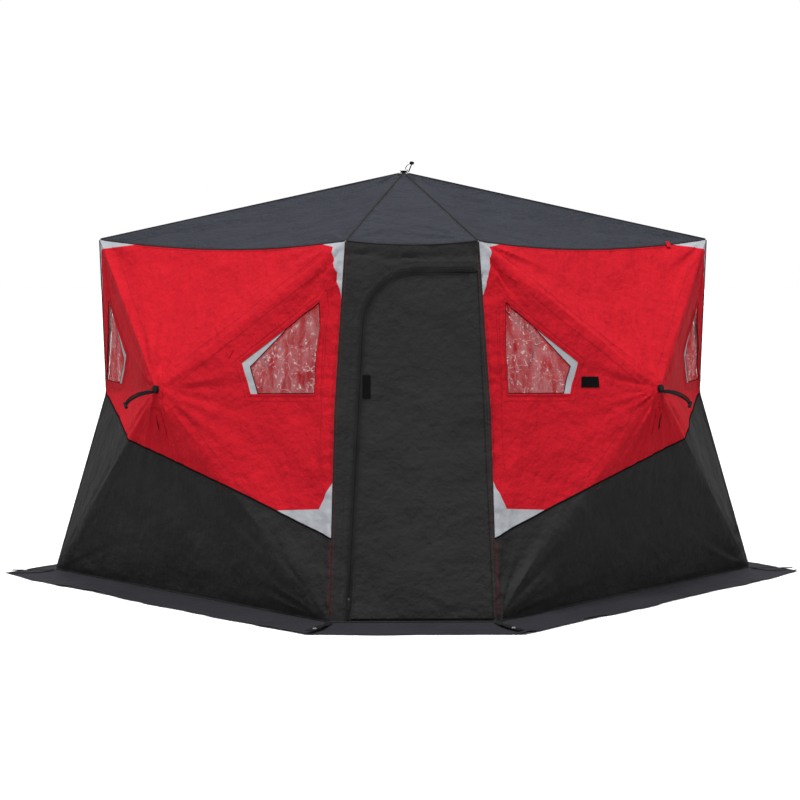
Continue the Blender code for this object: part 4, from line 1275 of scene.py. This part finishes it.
def build_door(end):
    word = "front" if end < 0 else "back"
    foot, across, slope, outward = door_frame(end)
    relief = panel_relief(31 + 4 * end, PANEL_HEAD, BASE_DOOR_HALF_WIDTH - 0.03)
    surface = Surface(foot, across, slope, relief)
    inner = door_edge(ZIP_GAP / 2, DOOR_HINGE_GAP / 2, BASE_SEAM_HEIGHT)
    head = surface.flat(door_eave(end, STEPS))
    bow = PANEL_BOW[0]
    seams = [(sign * panel_half_width(h), h) for sign, h in
             ((-1, BASE_SEAM_HEIGHT), (-1, bow), (1, bow), (1, BASE_SEAM_HEIGHT))]
    # The panel's fixed cloth is cut in three: the head over the arch, and a strip down each side.
    spring = DOOR_ARCH_CENTRE[1]
    left, right = float(inner[1, 0]), float(np.interp(spring, inner[[-1, -2], 1], inner[[-1, -2], 0]))
    outer = panel_half_width(spring)
    rim = [(-outer, spring), *map(tuple, head), (outer, spring), (right, spring)]
    parts = {"head": rim + [tuple(p) for p in inner[-2:0:-1]],
             "hinge_strip": [(right, spring), (outer, spring), *seams[2:], tuple(inner[-1])],
             "zip_strip": [(-outer, spring), (left, spring), tuple(inner[0]), *seams[:2]]}
    for label, outline in parts.items():
        piece = Piece()
        outline = np.array(outline)
        area = cloth(piece, surface, outline, spacing=DOOR_SPACING)
        made = piece.make(f"{word}_door_surround_{label}", [BLACK], "shell")
        if label == "head":
            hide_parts(word + "_door_surround")
    leaf = door_edge(-ZIP_GAP / 2, -DOOR_HINGE_GAP / 2, DOOR_FOOT)

    def leaf_relief(sheet, uv):
        """The panel's relief, calmed and set a little deeper beside the hinge, to fold back over the seam."""
        away = hinge_x(uv[:, 1]) - uv[:, 0]
        deeper = LEAF_RECESS * (1 - smooth((away - 0.05) / 0.10))
        return surface.relief(sheet, uv) * smooth((away - 0.02) / 0.12) - deeper

    leaf_surface = Surface(foot, across, slope, leaf_relief)
    piece = Piece()
    area = cloth(piece, leaf_surface, leaf, spacing=LEAF_SPACING)
    flap = piece.make(word + "_door_leaf_cloth", [BLACK], word + "_door_flap")
    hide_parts(word + "_door_flap")
    # Zip: a tape and a coil on each side of the gap, and a facing band sewn round the opening.
    line = door_line()[:-1]
    line[-1, 0] -= 0.010
    line = resample(line, 0.012)
    for sign, body, label, sheet in ((1, "shell", "_surround", surface),
                                     (-1, word + "_door_flap", "_leaf", leaf_surface)):
        tape = Piece()
        # The leaf's side of the zip ends short of the hinge, to leave the fold free.
        run = line if sign > 0 else line[:-2]
        add_strip(tape, sheet, offset_path(run, sign * TAPE_OFFSET), TAPE_WIDTH, lift=0.0014)
        coil = sheet.at(offset_path(run, sign * COIL_OFFSET), 0.0012)
        add_tube(tape, coil, COIL_RADIUS, 6, slot=1)
        stitches = Piece()
        for distance in (0.0115, 0.022):
            add_stitches(stitches, sheet, offset_path(run, sign * distance), lift=0.0006 + TRIM)
        if sign > 0:
            facing = offset_path(line, FACING_OFFSET)
            add_strip(tape, surface, facing, FACING_WIDTH, lift=0.0008, thickness=0.0008, slot=2)
            add_stitches(stitches, surface, offset_path(line, 0.043), lift=0.0009)
        tape.make(word + "_zip_tape" + label, [ZIP_TAPE, COIL, BLACK], body)
        stitches.make(word + "_door_stitches" + label, [DARK_THREAD], body)
    # Hems, hook-and-loop tab and bar tacks.
    leaf_trim = Piece()
    low, high = leaf[0], leaf[-1]
    hem = [(low[0] + 0.004, low[1] + 0.013), (high[0] - 0.004, high[1] + 0.013)]
    add_strip(leaf_trim, leaf_surface, hem, HEM_WIDTH, lift=0.0008, crown=0.0006)
    tab_x = mix(ZIP_FOOT[0], door_line()[1][0], TAB_HEIGHT / DOOR_ARCH_CENTRE[1]) + 0.030
    tab = [(tab_x, TAB_HEIGHT - TAB_HALF_LENGTH), (tab_x, TAB_HEIGHT + TAB_HALF_LENGTH)]
    add_strip(leaf_trim, leaf_surface, tab, TAB_WIDTH, lift=0.0030, thickness=0.0020, slot=1)
    leaf_trim.make(word + "_door_leaf_trim", [BLACK, HOOK_LOOP_AND_SLIT_SHADE], word + "_door_flap")
    fixed = Piece()
    for sign in (-1, 1):
        x = sign * (EAVE_DOOR_HALF_WIDTH - 0.016)
        tack = [(x, PANEL_HEAD - 0.012), (x * 1.02, PANEL_HEAD - 0.105)]
        add_strip(fixed, surface, tack, 0.005, lift=0.0016)
    hinge = [(hinge_x(h), h) for h in (DOOR_FOOT, DOOR_ARCH_CENTRE[1] + DOOR_ARCH_RADIUS - 0.01)]
    strip = [(x + 0.0075, h) for x, h in hinge]
    add_strip(fixed, surface, strip, HINGE_TRIM_WIDTH, lift=0.0006, crown=0.0003)
    # A draught flap behind the zip and the hinge; behind the leaf's foot, black strips stand in for the shade
    # in the gap under the door (painted shade).
    add_strip(fixed, surface, offset_path(line, 0.004), 0.046, lift=-0.0050, thickness=BACKING)
    behind = [(hinge[0][0] + 0.004, hinge[0][1]), (hinge[1][0] + 0.002, hinge[1][1] + 0.035)]
    add_strip(fixed, surface, behind, 0.036, lift=-0.0064, thickness=BACKING)
    # Painted shade: black strips behind the gap under the leaf's foot.
    for x in np.arange(ZIP_FOOT[0] - 0.02, hinge[0][0], 0.05):
        depth = 0.011 + 0.002 * math.sin(90 * x)
        gap_shade = [(x, GAP_SHADE_HEIGHT), (x + 0.054, GAP_SHADE_HEIGHT)]
        add_strip(fixed, surface, gap_shade, GAP_SHADE_WIDTH, lift=-depth, thickness=BACKING)
    fixed.make(word + "_door_panel_trim", [BLACK], "shell")
    thread = Piece()
    for sign in (-1, 1):
        hs = np.linspace(0.04, PANEL_HEAD - 0.03, 40)
        rows = [(sign * (panel_half_width(h) - 0.0065), h) for h in hs]
        add_stitches(thread, surface, rows, width=0.0011, lift=0.0006)
    thread.make(word + "_panel_seam_stitches", [RED_THREAD], "shell")


for end in (-1, 1):
    build_door(end)


# Welts on the seams between the sheets.

DOOR_WELT_SHIFT = 0.0028
EAVE_WELT_RADIUS = 0.0034
DOOR_WELT_RADIUS = 0.0030
WELT_RADIUS = 0.0040
WELT_STEPS = 60
SEAM_HEIGHTS = np.linspace(EAVE_HEIGHT - 0.004, 0.03, WELT_STEPS)


def build_welts():
    """Rolled seams at the eaves, the side seams, the door seams and the base."""
    dark = Piece()
    for side in (-1, 1):
        for end in (-1, 1):
            add_tube(dark, wall_eave(side, end, np.linspace(0.004, 0.996, WELT_STEPS)), EAVE_WELT_RADIUS)
            seam = [door_seam(side, end, z) for z in SEAM_HEIGHTS]
            behind = [unit((wall_hub_point(side, end) - p) * (1, 1, 0)) * DOOR_WELT_SHIFT for p in seam]
            add_tube(dark, [p + shift for p, shift in zip(seam, behind)], DOOR_WELT_RADIUS)
            foot = [mix(side_seam(side, BASE_SEAM_HEIGHT), door_seam(side, end, BASE_SEAM_HEIGHT), s)
                    for s in np.linspace(0, 1, 40)]
            add_tube(dark, foot, WELT_RADIUS)
        add_tube(dark, [side_seam(side, z) for z in SEAM_HEIGHTS], WELT_RADIUS)
    for end in (-1, 1):
        add_tube(dark, door_eave(end, np.linspace(0.01, 0.99, 20)), DOOR_WELT_RADIUS)
        foot = [mix(door_seam(-1, end, BASE_SEAM_HEIGHT), door_seam(1, end, BASE_SEAM_HEIGHT), s)
                for s in np.linspace(0, 1, 16)]
        add_tube(dark, foot, WELT_RADIUS)
    dark.make("seam_welts", [BLACK], "shell")


build_welts()


# Ground skirt.

def skirt_corners():
    """Each base corner with the way its mitre runs outwards, round the cabin."""
    corners = [base_side_corner(1), base_door_corner(1, 1), base_door_corner(-1, 1), base_side_corner(-1),
               base_door_corner(-1, -1), base_door_corner(1, -1)]
    corners = np.array(corners)[:, :2]
    outer = offset_outline(corners, 1.0) - corners
    # A mitre is cut short, so that its tip is about as wide as the skirt.
    stretch = np.minimum(np.linalg.norm(outer, axis=1), SKIRT_MITRE)
    return corners, outer / np.linalg.norm(outer, axis=1)[:, None] * stretch[:, None]


def skirt_height(distance):
    """The skirt's height over the floor, falling from the base seam to where it lies flat."""
    heights = (SKIRT_RISE, SKIRT_RISE + 0.001, SKIRT_RISE - 0.001, 0.0125, 0.008, 0.0042, 0.0018, 0.0014)
    return np.interp(distance, (-SKIRT_TUCK, 0.0, 0.010, 0.03, 0.055, 0.085, SKIRT_FLAT_START, 0.15), heights)


# Distances from the base seam of the lines that run round the skirt, closer together at its hem.
SKIRT_RINGS = (-SKIRT_TUCK, 0.0, 0.010, 0.03, 0.05, 0.07, 0.09, 0.11, 0.13, 0.15, 0.17, 0.19, 0.205, 0.2195,
               0.2205, 0.228, SKIRT_WIDTH)
SKIRT_THICKNESS = 0.0013
SKIRT_HEM = 0.0022


def build_skirt():
    inner, outer = skirt_corners()
    start = []
    away = []
    place = []
    walked = 0.0
    for i in range(6):
        j = (i + 1) % 6
        edge = inner[j] - inner[i]
        span = np.linalg.norm(edge)
        square = np.array((edge[1], -edge[0])) / span
        if square @ inner[i] < 0:
            square = -square
        steps = int(span / 0.014)
        for share in np.arange(steps) / steps:
            near = min(share, 1 - share) * span
            corner = outer[i] if share < 0.5 else outer[j]
            start.append(mix(inner[i], inner[j], share))
            away.append(mix(corner, square, smooth(near / 0.16)))
            place.append(walked + share * span)
        walked += span
    start, away, place = np.array(start), np.array(away), np.array(place)
    rings = []
    uvs = []
    along = np.stack([place, place * 0], axis=1)
    for distance in SKIRT_RINGS:
        outness = smooth((distance - 0.03) / 0.15)
        ripple = noise(along / 0.19 + (3, distance * 5), 3) + 0.7 * noise(along / 0.07 + (1, distance * 9), 4)
        crinkle = 0.0016 * noise(along / 0.033 + (7, distance / 0.045), 6)
        hem = SKIRT_HEM if distance > 0.220 else 0.0
        height = skirt_height(distance) + hem
        lift = np.clip(height + (0.0095 * np.clip(ripple, 0, 2) + crinkle) * outness, 0.0014 + hem, 1)
        wave = noise(along / 0.24 + (5, 0), 8) + 0.5 * noise(along / 0.085 + (9, 0), 9)
        edge = outness * (0.0140 * wave - 0.0085)
        flat = start + away * (distance + edge)[:, None]
        rings.append(np.concatenate([flat, lift[:, None]], axis=1))
        uvs.append(np.stack([place, np.full(len(place), distance)], axis=1))
    under = [ring - (0, 0, SKIRT_THICKNESS) for ring in rings[::-1]]
    rows = np.array(rings + under)
    total, count = rows.shape[:2]
    faces = []
    for i in range(total):
        j = (i + 1) % total
        for k in range(count):
            m = (k + 1) % count
            faces.append([i * count + k, j * count + k, j * count + m, i * count + m])
    piece = Piece()
    piece.add(rows.reshape(-1, 3), faces, np.array(uvs + uvs[::-1]).reshape(-1, 2), 0)
    made = piece.make("skirt_cloth", [SKIRT], "shell")
    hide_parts("skirt")


ANCHOR_WIDTH = 0.033
ANCHOR_THICKNESS = 0.0013
ANCHOR_END = 0.218
# Radius, height over the webbing, thickness, sides and material number of an eyelet's two rings.
EYELET_RINGS = ((0.0088, 0.0006, 0.0026, 8, 0), (0.0050, 0.0004, 0.0016, 6, 1))


def build_anchors():
    """At each corner a webbing strip runs out over the skirt, with an eyelet for a stake."""
    web = Piece()
    eyelets = Piece()
    half, thick = ANCHOR_WIDTH / 2, ANCHOR_THICKNESS
    section = ((-half, -thick), (-half, 0), (half, 0), (half, -thick))
    for corner, outward in zip(*skirt_corners()):
        ahead = unit(outward)
        beside = np.array((-ahead[1], ahead[0]))
        stops = np.linspace(0.004, ANCHOR_END, 24)
        bump = skirt_height(stops) + 0.0105 * smooth((stops - 0.03) / 0.06) + 0.0050
        ring = []
        for stop, height in zip(stops, bump):
            middle = corner + ahead * stop
            ring.append([(*(middle + beside * half), height + rise) for half, rise in section])
        uvs = [[(half, stop) for half, rise in section] for stop in stops]
        web.add(*rings_to_shape(ring, uvs))
        centre = corner + ahead * EYELET_PLACE
        height = float(np.interp(EYELET_PLACE, stops, bump))
        for radius, rise, tube, sides, slot in EYELET_RINGS:
            ring = centre + circle(radius)
            ring = np.column_stack([ring, np.full(len(ring), height + rise)])
            add_tube(eyelets, ring, tube, sides, closed=True, slot=slot)
    web.make("skirt_anchor_webbing", [WEBBING], "shell")
    eyelets.make("skirt_eyelets", [EYELET, METAL], "shell")


build_skirt()
build_anchors()


# Hubs, straps and the kept CAD pieces.

def strap_matrix(origin, normal, across, heading):
    """x along the strap, y beside it, z out of the hub."""
    rising = np.cross(normal, across)
    ahead = math.cos(heading) * across + math.sin(heading) * rising
    beside = np.cross(normal, ahead)
    matrix = np.eye(4)
    matrix[:3, 0], matrix[:3, 1], matrix[:3, 2], matrix[:3, 3] = ahead, beside, normal, origin
    return matrix


WALL_STRAP_PATH = ((0.013, 0.0), (0.026, 0.003), (0.040, 0.034), (0.068, 0.064), (0.108, 0.080),
                   (0.148, 0.078))
ROOF_STRAP_PATH = ((0.013, 0.0), (0.027, 0.001), (0.037, 0.022), (0.047, 0.046))
WALL_STRAP_DROOP = math.radians(36)
ROOF_STRAP_HEADING = math.radians(-20)

for wall in walls:
    toward = (eave_side_corner(wall.side) - wall.hub) @ wall.across
    heading = -WALL_STRAP_DROOP if toward > 0 else math.pi + WALL_STRAP_DROOP
    matrix = strap_matrix(wall.hub, wall.normal, wall.across, heading)
    build_strap(wall.name + "_pull_strap", matrix, WALL_STRAP_PATH)
matrix = strap_matrix(peak, UP, np.array((1.0, 0, 0)), ROOF_STRAP_HEADING)
build_strap("roof_pull_strap", matrix, ROOF_STRAP_PATH)

for name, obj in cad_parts.items():
    look = None
    if name.endswith("_hub"):
        look = PLASTIC
    elif name.endswith("_slider"):
        look = METAL
    elif name.startswith("corner_pocket"):
        look = WEBBING
    if look:
        for slot in obj.material_slots:
            slot.link = "OBJECT"
            slot.material = look


# Camera, lights and floor.

# Name, heading and elevation in degrees, strength, and the width of the source in degrees.
SUNS = (("key_light", -8, 74, 3.1, 16), ("left_light", -52, 30, 0.42, 30), ("right_light", 52, 30, 0.36, 30),
        ("back_light", 180, 48, 0.9, 30))
CABIN_LIGHT_PLACE = (0, 0, 1.15)
CABIN_LIGHT_POWER = 45
CABIN_LIGHT_RADIUS = 0.35
BACKDROP_LIGHT = 0.36
FLOOR_SHOWN = 0.95
FLOOR_LIGHT = 0.42
FLOOR_REACH = 60.0
CAMERA_PLACE = (-0.303, -12.403, 1.741)
CAMERA_TILT = 0.0693
CAMERA_TURN = 0.0229
CAMERA_LENS = 110.2
CAMERA_SENSOR = 36
CAMERA_REACH = 200


def sun_light(name, heading, elevation, strength, spread):
    """A broad, even lamp; heading 0 is over the camera's side, and goes towards +X."""
    data = bpy.data.lights.new(name, "SUN")
    data.energy = strength
    data.angle = math.radians(spread)
    lamp = bpy.data.objects.new(name, data)
    heading, elevation = math.radians(heading), math.radians(elevation)
    source = Vector((math.sin(heading) * math.cos(elevation), -math.cos(heading) * math.cos(elevation),
                     math.sin(elevation)))
    lamp.rotation_mode = "QUATERNION"
    lamp.rotation_quaternion = (-source).to_track_quat("-Z", "Y")
    bpy.context.scene.collection.objects.link(lamp)


for light in SUNS:
    sun_light(*light)
cabin = bpy.data.lights.new("cabin_light", "POINT")
cabin.energy = CABIN_LIGHT_POWER
cabin.shadow_soft_size = CABIN_LIGHT_RADIUS
lamp = bpy.data.objects.new("cabin_light", cabin)
lamp.location = CABIN_LIGHT_PLACE
bpy.context.scene.collection.objects.link(lamp)

# The backdrop is plain white, and lights the shelter less than it shows.
world = bpy.data.worlds.new("studio")
world.use_nodes = True
backdrop = world.node_tree.nodes["Background"]
backdrop.inputs["Color"].default_value = (1, 1, 1, 1)
seen = add_node(world.node_tree, "ShaderNodeLightPath")
strength = add_node(world.node_tree, "ShaderNodeMapRange", Value=seen.outputs["Is Camera Ray"],
                    To_Min=BACKDROP_LIGHT, To_Max=1.0)
world.node_tree.links.new(strength.outputs["Result"], backdrop.inputs["Strength"])
bpy.context.scene.world = world
bpy.context.scene.view_settings.view_transform = "Standard"

floor_mesh = bpy.data.meshes.new("floor")
floor_corners = [(x * FLOOR_REACH, y * FLOOR_REACH, 0) for x, y in ((-1, -1), (1, -1), (1, 1), (-1, 1))]
floor_mesh.from_pydata(floor_corners, [], [(0, 1, 2, 3)])
floor_look, tree, shader = principled("floor_look", (0.86, 0.86, 0.86), 0.9, Specular_IOR_Level=0.0)
# The floor throws back less light than it shows, as a floor cut out of its surroundings would.
path = add_node(tree, "ShaderNodeLightPath")
pale = add_node(tree, "ShaderNodeMapRange", Value=path.outputs["Is Camera Ray"], To_Min=FLOOR_LIGHT,
                To_Max=FLOOR_SHOWN)
tree.links.new(pale.outputs["Result"], shader.inputs["Base Color"])
floor_mesh.materials.append(floor_look)
floor = bpy.data.objects.new("floor", floor_mesh)
bpy.context.scene.collection.objects.link(floor)

camera_data = bpy.data.cameras.new("camera")
camera_data.lens = CAMERA_LENS
camera_data.sensor_width = CAMERA_SENSOR
camera_data.clip_end = CAMERA_REACH
camera = bpy.data.objects.new("camera", camera_data)
camera.location = CAMERA_PLACE
camera.rotation_euler = (math.pi / 2 - CAMERA_TILT, 0, -CAMERA_TURN)
bpy.context.scene.collection.objects.link(camera)
bpy.context.scene.camera = camera
